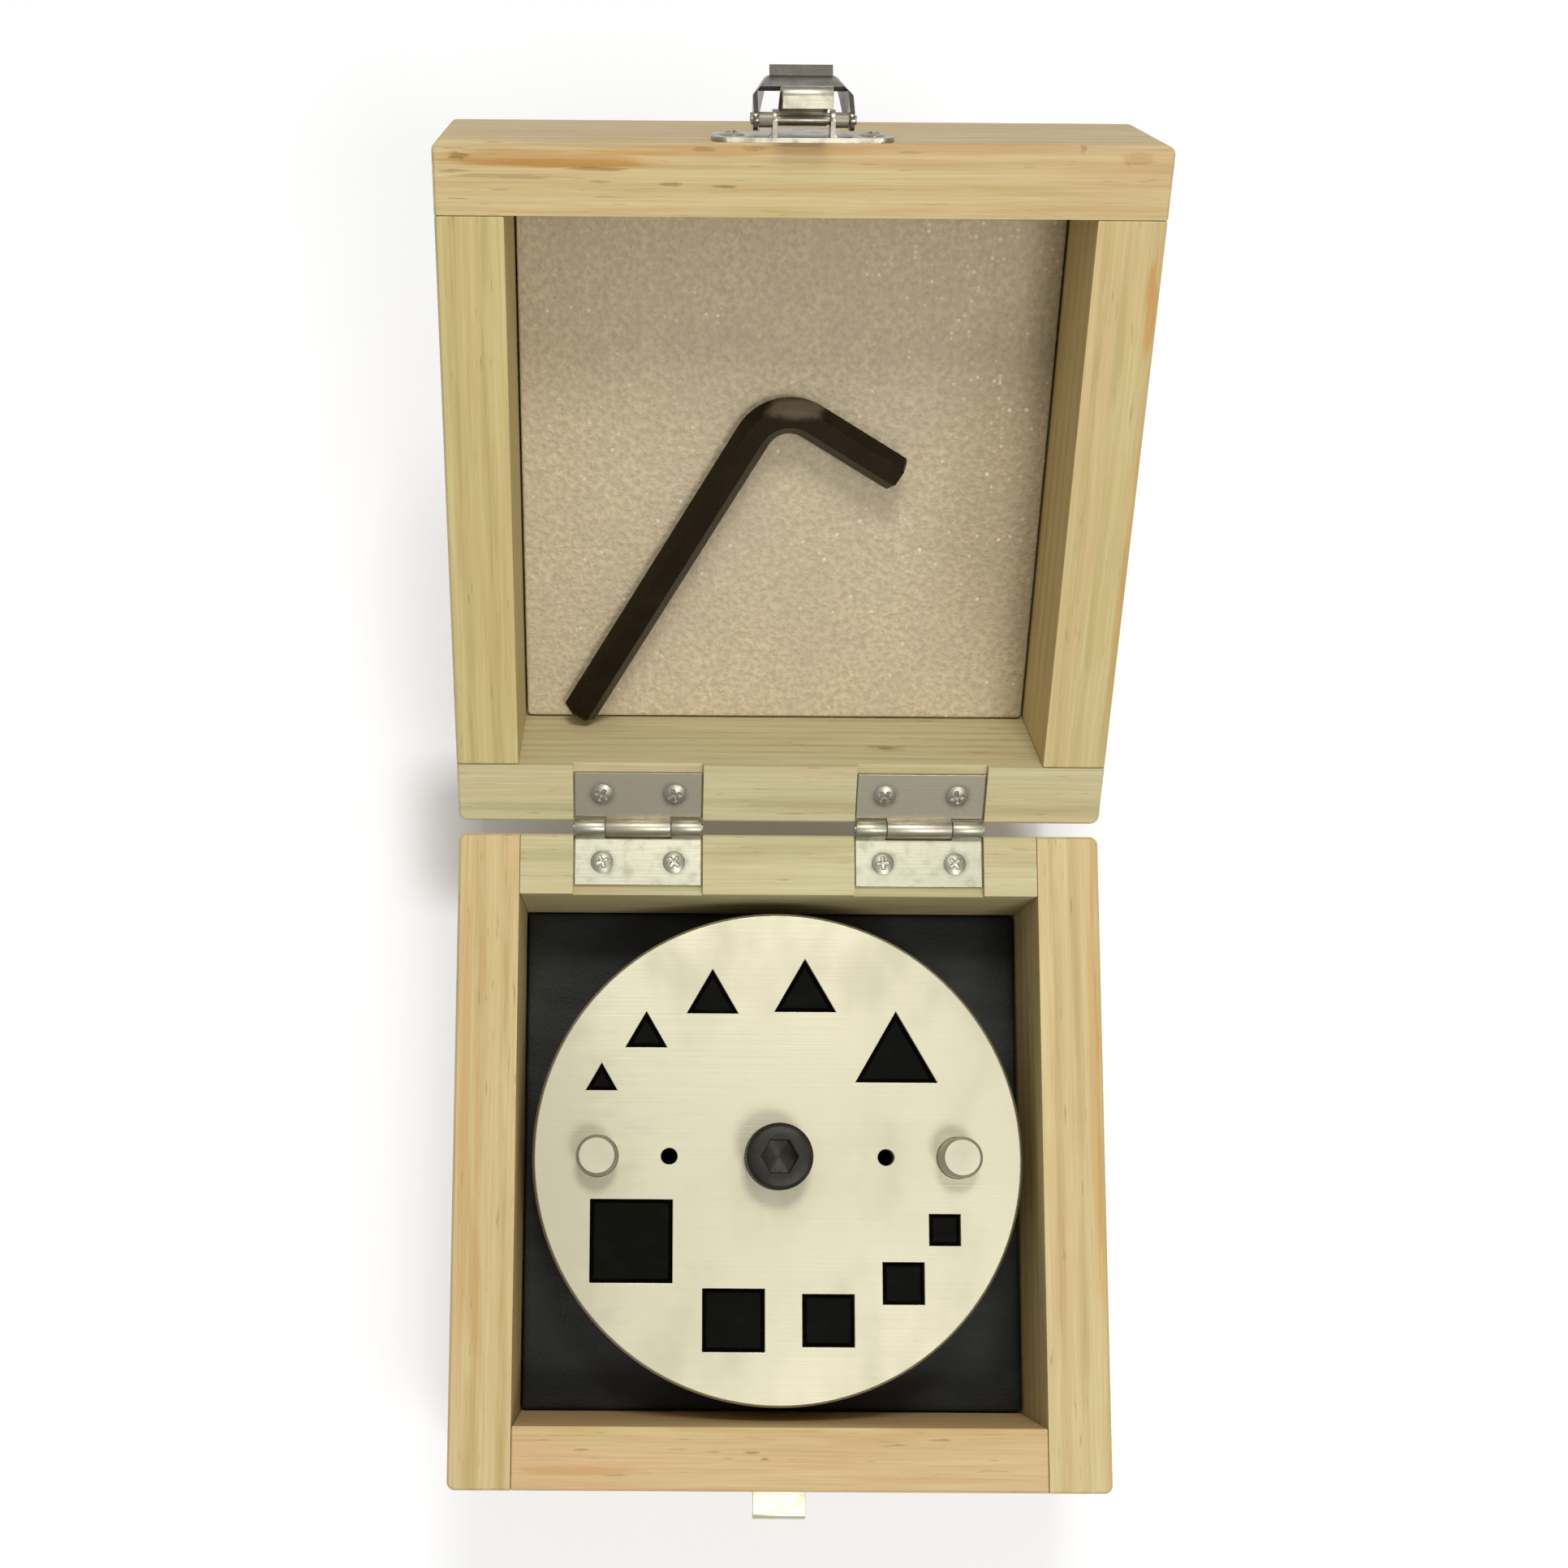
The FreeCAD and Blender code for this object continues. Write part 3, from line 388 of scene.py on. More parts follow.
# expanded polyethylene foam: grey-brown cells about a millimetre wide, some of which glint. Each cell of the
# noise has its own random number, and its core glints where that lies past the edges given for it
def expandedFoam():
    finish, tree, shader = newFinish("expandedPolyethyleneFoam", sheetFoam["skin"])
    place = objectPlace(tree, True)
    scaled = addNode(tree, "Mapping", {"Scale": (1 / sheetFoam["cell"],) * 3}, {"Vector": place})
    cell = addNode(tree, "TexVoronoi", {"Scale": 1.0}, {"Vector": scaled.outputs[0]})
    mottle = patches(tree, place, *sheetFoam["mottle"])
    colour = layer(tree, sheetFoam["dark"], sheetFoam["pale"], mottle)
    for pattern, tint, share in sheetFoam["tints"]:
        colour = layer(tree, colour, tint, patches(tree, place, *pattern), share)
    # painted shadow: darker foam by the right rail, for the rail's shadow
    worn = oval(tree, place, *sheetFoam["worn"])
    colour = layer(tree, colour, sheetFoam["wornColour"], worn, sheetFoam["wornShare"], "MULTIPLY")
    settings = {"operation": "MULTIPLY_ADD", 1: sheetFoam["raggedness"]}
    ragged = addNode(tree, "Math", settings, {0: mottle, 2: cell.outputs["Distance"]})
    outer, inner = sheetFoam["coreEdges"]
    core = addNode(tree, "MapRange", {"From Min": outer, "From Max": inner}, {"Value": ragged.outputs[0]})
    draw = addNode(tree, "SeparateColor", {}, {"Color": cell.outputs["Color"]}).outputs[0]
    few, many = (addNode(tree, "MapRange", {"From Min": low, "From Max": high}, {"Value": draw}).outputs[0]
                 for low, high in (sheetFoam["few"], sheetFoam["many"]))
    corner = oval(tree, place, *sheetFoam["corner"])
    crowd = addNode(tree, "Math", {"operation": "MULTIPLY"}, {0: many, 1: corner}).outputs[0]
    lit = addNode(tree, "Math", {"operation": "MAXIMUM"}, {0: few, 1: crowd}).outputs[0]
    glint = addNode(tree, "Math", {"operation": "MULTIPLY"}, {0: lit, 1: core.outputs[0]}).outputs[0]
    colour = layer(tree, colour, sheetFoam["glintColour"], glint, sheetFoam["glintShare"])
    surface(tree, shader, colour, mottle, sheetFoam["depth"])
    return finish


ground = {
    "marks": ((40 * mm, 0.45 * mm, 0.45 * mm), (0.3, 0.7), 1.0, 4.0),      # coarser than life, so they show
    "markShare": 0.3, "markDepth": 0.006 * mm,
    "smears": ((16 * mm, 24 * mm, 16 * mm), (0.36, 0.72), 6.0), "smearShare": 0.5,
    "specks": ((1.0 * mm,) * 3, (0.8, 0.84), 9.0, 1.0), "speckColour": "#5F5C4C", "speckShare": 0.6,
    "cloudy": ((9 * mm, 3 * mm, 6 * mm), (0.3, 0.7), 11.0, 4.0), "cloudiness": 0.25,
    "handled": ((-52 * mm, -6 * mm, 45 * mm), (34 * mm, 60 * mm, 60 * mm)),
    "handledColour": "#A9A48E", "handledShare": 0.55,
    # painted shade: the small plain holes' colour below is near black, for the shade inside them
    "pilotX": 21.2 * mm, "pilotMiddle": 36 * mm, "pilotHalf": (5 * mm, 5 * mm, 8.6 * mm), "oil": "#0A0A08",
    "smoother": 0.05, "rougher": 0.06,
}


# tool steel, surface ground: a pale satin face with fine straight marks, duller at the left where it is
# handled. The marks are noise drawn out along X, and rounder noise makes the smears and specks
def groundSteel(name, tint, dull, roughness):
    finish, tree, shader = newFinish(name, {"Metallic": 1.0, "Roughness": roughness})
    place = objectPlace(tree)
    marks = patches(tree, place, *ground["marks"])
    smears = patches(tree, place, *ground["smears"])
    specks = patches(tree, place, *ground["specks"])
    cloudy = patches(tree, place, *ground["cloudy"])
    handled = oval(tree, place, *ground["handled"], cloudy, ground["cloudiness"])
    colour = layer(tree, tint, dull, smears, ground["smearShare"])
    colour = layer(tree, colour, dull, marks, ground["markShare"])
    colour = layer(tree, colour, ground["handledColour"], handled, ground["handledShare"])
    colour = layer(tree, colour, ground["speckColour"], specks, ground["speckShare"])
    for side in (-1, 1):      # painted shade: the two small plain holes are painted near black, for the shade in them
        pilot = (side * ground["pilotX"], 0, ground["pilotMiddle"])
        colour = layer(tree, colour, ground["oil"], oval(tree, place, pilot, ground["pilotHalf"]))
    rough = (smears, roughness - ground["smoother"], roughness + ground["rougher"])
    surface(tree, shader, colour, marks, ground["markDepth"], rough)
    return finish


oxide = {
    "rub": ((7 * mm, 5 * mm, 5 * mm), (0.42, 0.75), 2.0, 4.0),
    "rubbedFray": 0.3, "rubbedShare": 0.8,
    "grit": ((0.4 * mm,) * 3, (0.2, 0.8), 3.0), "gritDepth": 0.01 * mm,
    "ior": 1.6, "smoother": 0.06, "rougher": 0.08,
}


# black oxide on steel: a thin brown-black skin, half dull under the oil that tints its gloss, rubbed paler by
# patches of noise; a painted highlight, a paler oval for gloss, is given by its centre, half sizes and colour
def blackOxide(name, dark, worn, oil, roughness, gloss, onLid=False, paintedHighlight=None):
    settings = {"Roughness": roughness, "IOR": oxide["ior"], "Specular IOR Level": gloss}
    settings["Specular Tint"] = linearColour(oil)
    finish, tree, shader = newFinish(name, settings)
    place = objectPlace(tree, onLid)
    rub = patches(tree, place, *oxide["rub"])
    grit = patches(tree, place, *oxide["grit"])
    colour = layer(tree, dark, worn, rub)
    if paintedHighlight:
        centre, half, pale = paintedHighlight
        # painted highlight: a paler oval, frayed by the rub noise
        mask = oval(tree, place, centre, half, rub, oxide["rubbedFray"])
        colour = layer(tree, colour, pale, mask, oxide["rubbedShare"])
    rough = (grit, roughness - oxide["smoother"], roughness + oxide["rougher"])
    surface(tree, shader, colour, grit, oxide["gritDepth"], rough)
    return finish


plating = {
    "lines": ((14 * mm, 0.35 * mm, 0.35 * mm), (0.2, 0.8), 3.0, 4.0),      # coarser than life, so they show
    "lineDepth": 0.006 * mm,
    "spots": ((2.6 * mm,) * 3, (0.42, 0.75), 5.0), "spotShare": 0.7,
    "grimeHalf": (3.6 * mm, 3.6 * mm, 0.6 * mm), "grimeFray": 0.1, "grime": "#8A8878", "grimeShare": 0.6,
    "smoother": 0.04, "rougher": 0.08,
}


# nickel plate on pressed steel: warm silver with faint rolling lines, which are noise drawn out along X, dull
# spots of round noise, and a painted shadow in a soft oval about each screw
def nickelPlate(name, tint, dull, roughness, onLid=False, shadowedScrews=()):
    finish, tree, shader = newFinish(name, {"Metallic": 1.0, "Roughness": roughness})
    place = objectPlace(tree, onLid)
    lines = patches(tree, place, *plating["lines"])
    spots = patches(tree, place, *plating["spots"])
    colour = layer(tree, tint, dull, spots, plating["spotShare"])
    # painted shadow: a soft dark ring about each screw head
    for centre in shadowedScrews:
        shadowRing = oval(tree, place, centre, plating["grimeHalf"], spots, plating["grimeFray"])
        colour = layer(tree, colour, plating["grime"], shadowRing, plating["grimeShare"], "MULTIPLY")
    rough = (spots, roughness - plating["smoother"], roughness + plating["rougher"])
    surface(tree, shader, colour, lines, plating["lineDepth"], rough)
    return finish


# the screws' places, on the outer faces of what they hold, with the lid shut
screwPlaces = {
    "hingeMiddle": 27.7 * mm, "hingeHalf": 7.1 * mm, "hingeReach": 6.7 * mm, "leafFace": 0.9 * mm,
    "latchX": 12 * mm, "latchY": -63.8 * mm, "latchZ": 55.6 * mm,
    "strikeY": -64 * mm, "strikeZ": (36.9 * mm, 41.7 * mm),
}
middle, apart = screwPlaces["hingeMiddle"], screwPlaces["hingeHalf"]
hingeX = [side * middle + step * apart for side in (-1, 1) for step in (-1, 1)]
hingeY = lidHinge["y"] - screwPlaces["hingeReach"]
basePlaces = [(x, hingeY, lidHinge["z"] - screwPlaces["leafFace"]) for x in hingeX]
lidPlaces = [(x, hingeY, lidHinge["z"] + screwPlaces["leafFace"]) for x in hingeX]
latchX = screwPlaces["latchX"]
latchPlaces = [(x, screwPlaces["latchY"], screwPlaces["latchZ"]) for x in (-latchX, latchX)]
strikePlaces = [(0, screwPlaces["strikeY"], z) for z in screwPlaces["strikeZ"]]

plateSteel = groundSteel("groundToolSteelPlate", "#BFBAA2", "#B3AE96", 0.5)
pinSteel = groundSteel("groundToolSteelPin", "#C2BDA8", "#B4AF9A", 0.55)
# painted highlight: a paler patch on the key's bend, where the lamps' gloss would catch
keyBendHighlight = ((2.2 * mm, -14.7 * mm, 69.5 * mm), (12 * mm, 5 * mm, 5 * mm), "#5E5445")
keyOxide = blackOxide("blackOxideKey", "#0E0A04", "#1A1409", "#D8BC94", 0.3, 0.21, True, keyBendHighlight)
screwOxide = blackOxide("blackOxideScrew", "#1F1E18", "#35332B", "#E6E2D6", 0.42, 0.25)
punchOxide = blackOxide("blackOxidePunch", "#040403", "#0D0C08", "#E6E2D6", 0.5, 0.05)
# painted shade: the base hinge's nickel is a darker copy of the lid hinge's, to damp the lamps' gloss on it
shadedHingeNickel = nickelPlate("satinNickelHinge", "#A7A491", "#98957F", 0.42, False, basePlaces)
lidHingeNickel = nickelPlate("satinNickelLidHinge", "#B2AB98", "#A19A86", 0.42, True, lidPlaces)
# painted shade: the lever's nickel is a much darker copy of the latch's, for the shade under the lever
shadedLeverNickel = nickelPlate("brightNickelLever", "#756E66", "#5A544C", 0.28, True)
latchNickel = nickelPlate("brightNickelLatch", "#A8A392", "#8A8471", 0.42, True)
strikeNickel = nickelPlate("brightNickelStrike", "#DCD7BC", "#CFCAAC", 0.45)
zinc = nickelPlate("zincPlatedScrew", "#A9A694", "#908C78", 0.44)
lidZinc = nickelPlate("zincPlatedLidScrew", "#A5A193", "#8C8778", 0.42, True)

metalwork = [
    (plateSteel, ["die_plate", "guide_plate"]),
    (pinSteel, ["guide_pin_left", "guide_pin_right"]),
    (punchOxide, [node for node in nodes if node.startswith("punch_")]),
    (keyOxide, ["hex_key"]),
    (shadedHingeNickel, ["hinge_base_leaf_left", "hinge_base_leaf_right", "hinge_pin_left", "hinge_pin_right"]),
    (lidHingeNickel, ["hinge_lid_leaf_left", "hinge_lid_leaf_right"]),
    (latchNickel, ["latch_plate", "latch_hook", "latch_lever_pin", "latch_hook_pin"]),
    (shadedLeverNickel, ["latch_lever"]),
    (strikeNickel, ["latch_strike"]),
]
for finish, dressed in metalwork:
    for node in dressed:
        dress(node, finish)

# edges as they leave the shop: sanded wood is eased most, pressed sheet a little, ground steel hardly.
# A node takes the first width whose word is in its name
easing = {
    "widths": {
        "rail": 0.3 * mm, "panel": 0.15 * mm, "leaf": 0.12 * mm,
        "latch": 0.1 * mm, "plate": 0.12 * mm, "punch": 0.08 * mm,
    },
    "segments": 2, "sharpFrom": math.radians(40), "weld": 0.002 * mm,
}
for node, piece in nodes.items():
    width = next((size for word, size in easing["widths"].items() if word in node), None)
    if width:
        piece.modifiers.new("weld", "WELD").merge_threshold = easing["weld"]
        bevel = piece.modifiers.new("easedEdges", "BEVEL")
        bevel.width = width
        bevel.segments = easing["segments"]
        bevel.limit_method = "ANGLE"
        bevel.angle_limit = easing["sharpFrom"]
print("metal dressed")


# turns points from the shut lid's place to the open lid's, about the hinge pins' axis
def toOpenLid(points):
    c, s = math.cos(lidHinge["openAngle"]), math.sin(lidHinge["openAngle"])
    y, z = points[..., 1] - lidHinge["y"], points[..., 2] - lidHinge["z"]
    return np.stack([points[..., 0], lidHinge["y"] + y * c - z * s, lidHinge["z"] + y * s + z * c], -1)


sharpFrom = math.radians(35)      # a turned or cut edge past this stays sharp


# skins stacks of rings, an array of stacks by rows by columns by three, each shut by a face at both ends
def skinOfRings(name, stacks, finish, body, replaced):
    count, rows, columns = stacks.shape[:3]
    index = np.arange(count * rows * columns).reshape(count, rows, columns)
    a, b = index[:, :-1], index[:, 1:]
    quads = np.stack([a, np.roll(a, -1, 2), np.roll(b, -1, 2), b], -1).reshape(-1, 4)
    faces = quads.tolist() + index[:, 0, ::-1].tolist() + index[:, -1].tolist()
    mesh = bpy.data.meshes.new(name)
    mesh.from_pydata(stacks.reshape(-1, 3), [], faces)
    mesh.polygons.foreach_set("use_smooth", [True] * len(mesh.polygons))
    mesh.set_sharp_from_angle(angle=sharpFrom)
    mesh.materials.append(finish)
    piece = bpy.data.objects.new(name, mesh)
    bpy.context.collection.objects.link(piece)
    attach(piece, body)
    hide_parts(replaced)
    return piece


foam = {
    "half": 50.6 * mm, "corner": 0.8 * mm, "edge": 0.5 * mm,
    "wave": 0.15 * mm, "waveLength": 13 * mm, "wavePhase": 1.0,
    "faceFrom": (0.03, 0.97), "faceRings": 24, "edgeRings": 5, "perCorner": 14, "tightest": 0.9,
    "sheetFace": 75.3 * mm, "sheetBack": 80.3 * mm,      # heights of the lid's sheet with the lid shut
}


# a cut foam slab: square rings with round corners run from the bottom's middle out, up the side round both
# edges, and back in over the top, which sinks by up to the wave, a slow sine across times a slow cosine along
def foamRings(low, high):
    half, edge = foam["half"], foam["edge"]
    turns = np.linspace(0, math.pi / 2, foam["edgeRings"])
    face = np.linspace(*foam["faceFrom"], foam["faceRings"]) * half
    lower, upper = edge * np.sin(turns), edge * np.cos(turns)
    reach = np.concatenate([face, half - edge + lower, half - edge + upper, face[::-1]])
    level = np.concatenate([0 * face + low, low + edge - upper, high - edge + lower, 0 * face + high])
    level = level[:, None, None]
    radius = np.minimum(foam["corner"], reach * foam["tightest"])[:, None, None]
    angle = np.linspace(0, math.pi / 2, foam["perCorner"]) + np.arange(4)[:, None] * math.pi / 2
    signs = np.array([[1, 1], [-1, 1], [-1, -1], [1, -1]])
    x = signs[:, :1] * (reach[:, None, None] - radius) + radius * np.cos(angle)
    y = signs[:, 1:] * (reach[:, None, None] - radius) + radius * np.sin(angle)
    swell = np.sin(x / foam["waveLength"] + foam["wavePhase"]) * np.cos(y / foam["waveLength"])
    z = level - np.where(level > (low + high) / 2, foam["wave"] * (0.5 + 0.5 * swell), 0)
    return np.stack([x, y, z], -1).reshape(1, len(reach), -1, 3)


padLow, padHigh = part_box("base_foam_pad")
padPiece = skinOfRings("foam_pad", foamRings(padLow.z, padHigh.z), evaFoam(), "base", "base_foam_pad")
# the lid's sheet faces down when the lid is shut, so its rings are made upside down and turned over
sheetRings = foamRings(-foam["sheetBack"], -foam["sheetFace"]) * np.array([1, -1, -1])
sheetPiece = skinOfRings("foam_sheet", toOpenLid(sheetRings), expandedFoam(), "lid", "lid_foam_sheet")
print("foam cut")


woodScrew = {
    "head": 2.2 * mm, "rise": 0.5 * mm, "foot": 0.08 * mm,      # its radius, its dome's rise and its rim
    "domeFrom": (1, 0.03), "domeRings": 32,
    "seat": 0.8 * mm, "shank": 1.1 * mm, "length": 9.0 * mm, "shankRings": 60,
    "pitch": 1.2 * mm, "thread": 0.22 * mm, "point": 2.5 * mm, "blunt": 0.08,
    "crossHalf": 0.34 * mm, "crossReach": 1.35 * mm, "crossDepth": 0.4 * mm,
    "crossRise": 0.6, "soft": 0.15 * mm,                        # it gets shallower outwards, with soft edges
    "columns": 96,
}


# raised countersunk screws with a cross recess: a profile turned about each axis. The shank shrinks by a
# triangle wave of the height over the pitch less the turn, which winds its thread, and the dome sinks where
# one of two bars crosses the axis
def screwStacks(places, outward, turns):
    s = woodScrew
    tip = -s["seat"] - s["length"]
    shankZ = np.linspace(tip, -s["seat"], s["shankRings"])
    domeR = np.linspace(*s["domeFrom"], s["domeRings"]) * s["head"]
    domeZ = s["foot"] + s["rise"] * (1 - (domeR / s["head"]) ** 2)
    taper = np.minimum(1, (shankZ - tip) / s["point"] + s["blunt"])
    z = np.concatenate([shankZ, [0.0], domeZ])[:, None]
    r = np.concatenate([s["shank"] * taper, [s["head"]], domeR])[:, None]
    threaded = np.concatenate([taper, np.zeros(1 + len(domeR))])[:, None]
    inDome = np.concatenate([np.zeros(len(shankZ) + 1), np.ones(len(domeR))])[:, None]
    angle = np.arange(s["columns"]) / s["columns"] * 2 * math.pi
    r = r - s["thread"] * threaded * np.abs(2 * ((z / s["pitch"] - angle / (2 * math.pi)) % 1) - 1)
    u, v = np.abs(r * np.cos(angle)), np.abs(r * np.sin(angle))
    across, along = np.minimum(u, v), np.maximum(u, v)
    bar = np.clip((s["crossHalf"] - across) / s["soft"] + 0.5, 0, 1)
    bar = bar * np.clip((s["crossReach"] - along) / s["soft"], 0, 1)
    depth = s["crossDepth"] * (1 - s["crossRise"] * along / s["crossReach"])
    z = z - inDome * bar * depth
    outward = np.array(outward, float)
    side = np.array([1.0, 0, 0])
    up = np.cross(outward, side)
    turned = angle + np.array(turns)[:, None, None]
    flatPart = side * (r * np.cos(turned))[..., None] + up * (r * np.sin(turned))[..., None]
    return np.array(places)[:, None, None, :] + flatPart + outward * (z + 0 * r)[..., None]


baseStacks = screwStacks(basePlaces, (0, 0, 1), (0.4, 0.9, 0.1, 0.7))
skinOfRings("screws_base_hinge", baseStacks, zinc, "base", "hinge_base_screws")
lidStacks = screwStacks(lidPlaces, (0, 0, -1), (1.1, 0.3, 0.8, 0.2))
skinOfRings("screws_lid_hinge", toOpenLid(lidStacks), lidZinc, "lid", "hinge_lid_screws")
latchStacks = screwStacks(latchPlaces, (0, -1, 0), (0.5, 1.0))
skinOfRings("screws_latch", toOpenLid(latchStacks), lidZinc, "lid", "latch_screws")
strikeStacks = screwStacks(strikePlaces, (0, -1, 0), (0.2, 0.8))
skinOfRings("screws_strike", strikeStacks, zinc, "base", "strike_screws")
print("wood screws driven")


capScrew = {
    "tip": 25 * mm, "seat": 45 * mm, "top": 53 * mm,
    "shank": 3.98 * mm, "thread": 0.65 * mm, "pitch": 1.25 * mm, "point": 1 * mm, "pointIn": 0.7 * mm,
    "threadRings": 97, "neck": 0.6 * mm, "fillet": 0.1 * mm, "filletRise": 0.2 * mm,
    "head": 6.5 * mm, "underEdge": 0.25 * mm, "knurl": 0.16 * mm, "ridges": 60, "knurlRings": 6,
    "chamfer": 0.7 * mm, "bandGap": 0.3 * mm, "bandStep": 0.08 * mm,      # smooth above the knurled band
    "crown": 0.2 * mm, "crownIn": (0.8, 1.35), "mouthRing": 1.2,          # shares of the chamfer and the flat
    "hexAcross": 6.1 * mm, "mouth": 0.2 * mm,
    "socket": 4.6 * mm, "drillCone": 0.7 * mm, "drillStep": 0.2 * mm, "drill": 2.5 * mm,
    "endHole": (0.3 * mm, 0.15 * mm),                                     # radii of the first and last rings
    "columns": 240,
}


# the clamping cap screw: rings up the shank, over the head and down into the hexagon socket. A triangle wave
# of the height over the pitch less the turn cuts the thread, and a cosine of the turn knurls the head. The
# socket's reach is half its width over the cosine of the turn from the nearest flat's middle
def capScrewStack():
    s = capScrew
    seat, top, head, shank = s["seat"], s["top"], s["head"], s["shank"]
    flat = s["hexAcross"] / 2
    threadZ = np.linspace(s["tip"], seat - s["neck"], s["threadRings"])
    fromTip = np.clip((threadZ - s["tip"]) / s["point"], 0, 1)
    knurlZ = np.linspace(seat + 2 * s["underEdge"], top - s["chamfer"] - s["bandGap"], s["knurlRings"])
    # each ring is its height and radius, its thread's and its knurl's depth, and 1 where it is hexagonal
    rings = [(s["tip"], s["endHole"][0], 0, 0, 0)]
    rings += [(z, shank - (1 - t) * s["pointIn"], s["thread"] * t, 0, 0) for z, t in zip(threadZ, fromTip)]
    rings += [(seat - s["filletRise"], shank, 0, 0, 0), (seat, shank + s["fillet"], 0, 0, 0)]
    rings += [(seat, head - s["underEdge"], 0, 0, 0), (seat + s["underEdge"], head, 0, 0, 0)]
    rings += [(z, head, 0, s["knurl"], 0) for z in knurlZ]
    rings += [(top - s["chamfer"], head - s["bandStep"], 0, 0, 0)]
    rings += [(top - s["crown"], head - s["chamfer"] * s["crownIn"][0], 0, 0, 0)]
    rings += [(top, head - s["chamfer"] * s["crownIn"][1], 0, 0, 0), (top, flat * s["mouthRing"], 0, 0, 0)]
    rings += [(top, flat + s["mouth"], 0, 0, 1), (top - s["mouth"], flat, 0, 0, 1)]
    floor = top - s["socket"]
    rings += [(floor + s["drillCone"] + s["drillStep"], flat, 0, 0, 1)]
    rings += [(floor + s["drillCone"], s["drill"], 0, 0, 0), (floor, s["endHole"][1], 0, 0, 0)]
    z, r, thread, knurl, hexagonal = (np.array(column)[:, None] for column in zip(*rings))
    angle = np.arange(s["columns"]) / s["columns"] * 2 * math.pi
    r = r - thread * np.abs(2 * ((z / s["pitch"] - angle / (2 * math.pi)) % 1) - 1)
    r = r - knurl * (0.5 - 0.5 * np.cos(angle * s["ridges"]))
    fromFlat = (angle + math.pi / 2 + math.pi / 6) % (math.pi / 3) - math.pi / 6
    r = np.where(hexagonal > 0, r / np.cos(fromFlat), r + 0 * angle)
    return np.stack([r * np.cos(angle), r * np.sin(angle), z + 0 * r], -1)[None]


skinOfRings("cap_screw", capScrewStack(), screwOxide, "clamp_screw", "clamp_screw")
print("cap screw turned")


studio = {
    "floorHalf": 3.0,
    "near": ((0, 0, 0), (1, 1, 1)), "shadowKept": 0.45,
    "crack": ((0, 0.072, 0), (0.2, 0.03, 1)),      # behind the case, under the gap between its halves
    "skyBand": (0.2, 0.8),                         # the heights between which the horizon turns to zenith
    "softSky": (0.3, 0.52), "mirroredSky": (0.4, 0.55),
    "aim": (0, 0.03, 0.05),
    "lamps": {
        "key": {"place": (0.04, 0.5, 1.0), "size": 0.25, "power": 4.7},
        "fill": {"place": (0.25, -0.42, 1.0), "size": 0.3, "power": 4.2},
    },
}

half = studio["floorHalf"]
mesh = bpy.data.meshes.new("floor")
mesh.from_pydata([(-half, -half, 0), (half, -half, 0), (half, half, 0), (-half, half, 0)], [], [(0, 1, 2, 3)])
floor = bpy.data.objects.new("floor", mesh)
bpy.context.collection.objects.link(floor)
paper, tree, shader = newFinish("whitePaper", {"Base Color": linearColour("#FFFFFF"), "Roughness": 0.9})
mesh.materials.append(paper)

# the paper glows to the eye: fully far away, less near the case, so that its shadow stays, and not at all in
# the crack; the eye is any ray from the camera, also by way of a mirror or glass
path = addNode(tree, "LightPath").outputs
links = {0: path["Is Camera Ray"], 1: path["Is Glossy Ray"]}
seen = addNode(tree, "Math", {"operation": "MAXIMUM"}, links).outputs[0]
seen = addNode(tree, "Math", {"operation": "MAXIMUM"}, {0: seen, 1: path["Is Transmission Ray"]}).outputs[0]
place = addNode(tree, "TexCoord").outputs["Object"]
near = oval(tree, place, *studio["near"])
near = addNode(tree, "Math", {"operation": "MULTIPLY", 1: studio["shadowKept"]}, {0: near}).outputs[0]
crack = oval(tree, place, *studio["crack"])
plain = addNode(tree, "Math", {"operation": "MAXIMUM"}, {0: near, 1: crack}).outputs[0]
lit = addNode(tree, "Math", {"operation": "SUBTRACT", 0: 1.0}, {1: plain}).outputs[0]
share = addNode(tree, "Math", {"operation": "MULTIPLY"}, {0: seen, 1: lit}).outputs[0]
glow = addNode(tree, "Emission", {"Color": (1, 1, 1, 1), "Strength": 1.0}).outputs[0]
both = addNode(tree, "MixShader", {}, {0: share, 1: shader.outputs[0], 2: glow}).outputs[0]
tree.links.new(both, tree.nodes["Material Output"].inputs[0])

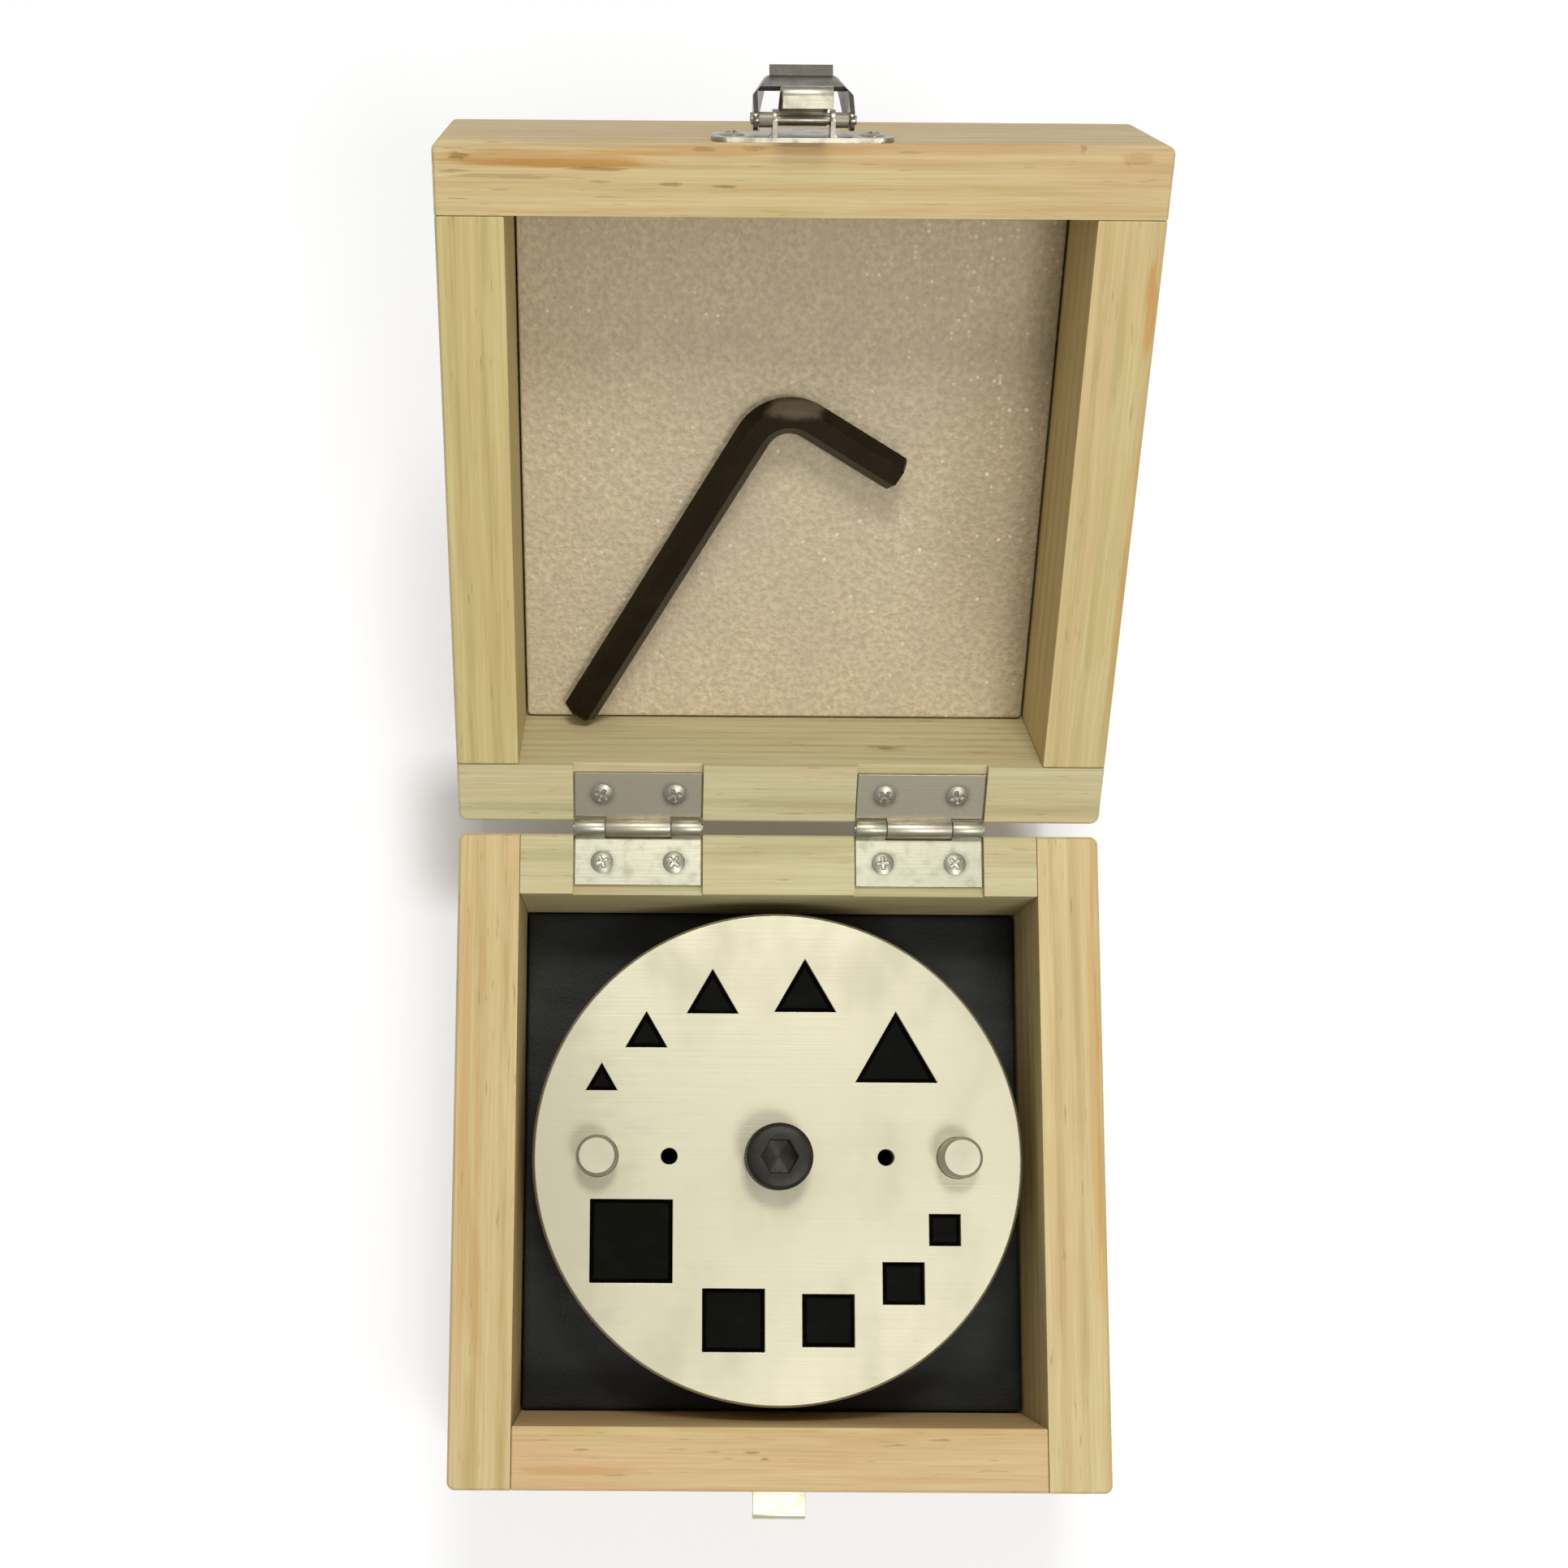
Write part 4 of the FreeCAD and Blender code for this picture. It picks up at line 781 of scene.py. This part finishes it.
# the sky is white to the eye; as a light it is dimmer, and dimmer again towards the horizon
world = bpy.data.worlds.new("studio")
bpy.context.scene.world = world
world.use_nodes = True
tree = world.node_tree
tree.nodes.clear()
path = addNode(tree, "LightPath").outputs
height = addNode(tree, "SeparateXYZ", {}, {0: addNode(tree, "TexCoord").outputs["Generated"]}).outputs["Z"]
skies = []
for horizon, zenith in (studio["softSky"], studio["mirroredSky"]):
    low, high = studio["skyBand"]
    settings = {"From Min": low, "From Max": high, "To Min": horizon, "To Max": zenith}
    skies.append(addNode(tree, "MapRange", settings, {"Value": height}).outputs[0])
level = addNode(tree, "Mix", {}, {0: path["Is Glossy Ray"], 2: skies[0], 3: skies[1]}).outputs[0]
links = {0: path["Is Camera Ray"], 1: path["Is Transmission Ray"]}
seen = addNode(tree, "Math", {"operation": "MAXIMUM"}, links).outputs[0]
level = addNode(tree, "Mix", {3: 1.0}, {0: seen, 2: level}).outputs[0]
sky = addNode(tree, "Background", {"Color": (1, 1, 1, 1)}, {"Strength": level})
addNode(tree, "OutputWorld", {}, {"Surface": sky.outputs[0]})

for name, lamp in studio["lamps"].items():
    data = bpy.data.lights.new(name, "AREA")
    data.size = lamp["size"]
    data.energy = lamp["power"]
    light = bpy.data.objects.new(name, data)
    bpy.context.collection.objects.link(light)
    light.location = lamp["place"]
    towards = mathutils.Vector(studio["aim"]) - light.location
    light.rotation_euler = towards.to_track_quat("-Z", "Y").to_euler()

# the camera looks almost straight down; turn is an axis times an angle in radians, and focal, shift and frame
# are in pixels of the image
viewPoint = {
    "place": (-24.63 * mm, -6.34 * mm, 444.12 * mm), "turn": (0.13676, -0.00291, 0.00621),
    "focal": 2498.5, "shift": 155, "frame": 1932, "sensor": 36,
}
cameraData = bpy.data.cameras.new("viewFromAbove")
camera = bpy.data.objects.new("viewFromAbove", cameraData)
bpy.context.collection.objects.link(camera)
turn = mathutils.Vector(viewPoint["turn"])
camera.rotation_mode = "QUATERNION"
camera.rotation_quaternion = mathutils.Quaternion(turn.normalized(), turn.length)
camera.location = viewPoint["place"]
cameraData.sensor_width = viewPoint["sensor"]
cameraData.lens = viewPoint["focal"] / viewPoint["frame"] * viewPoint["sensor"]
cameraData.shift_x = viewPoint["shift"] / viewPoint["frame"]
cameraData.shift_y = viewPoint["shift"] / viewPoint["frame"]
bpy.context.scene.camera = camera
bpy.context.scene.view_settings.view_transform = "Standard"
print("studio set")
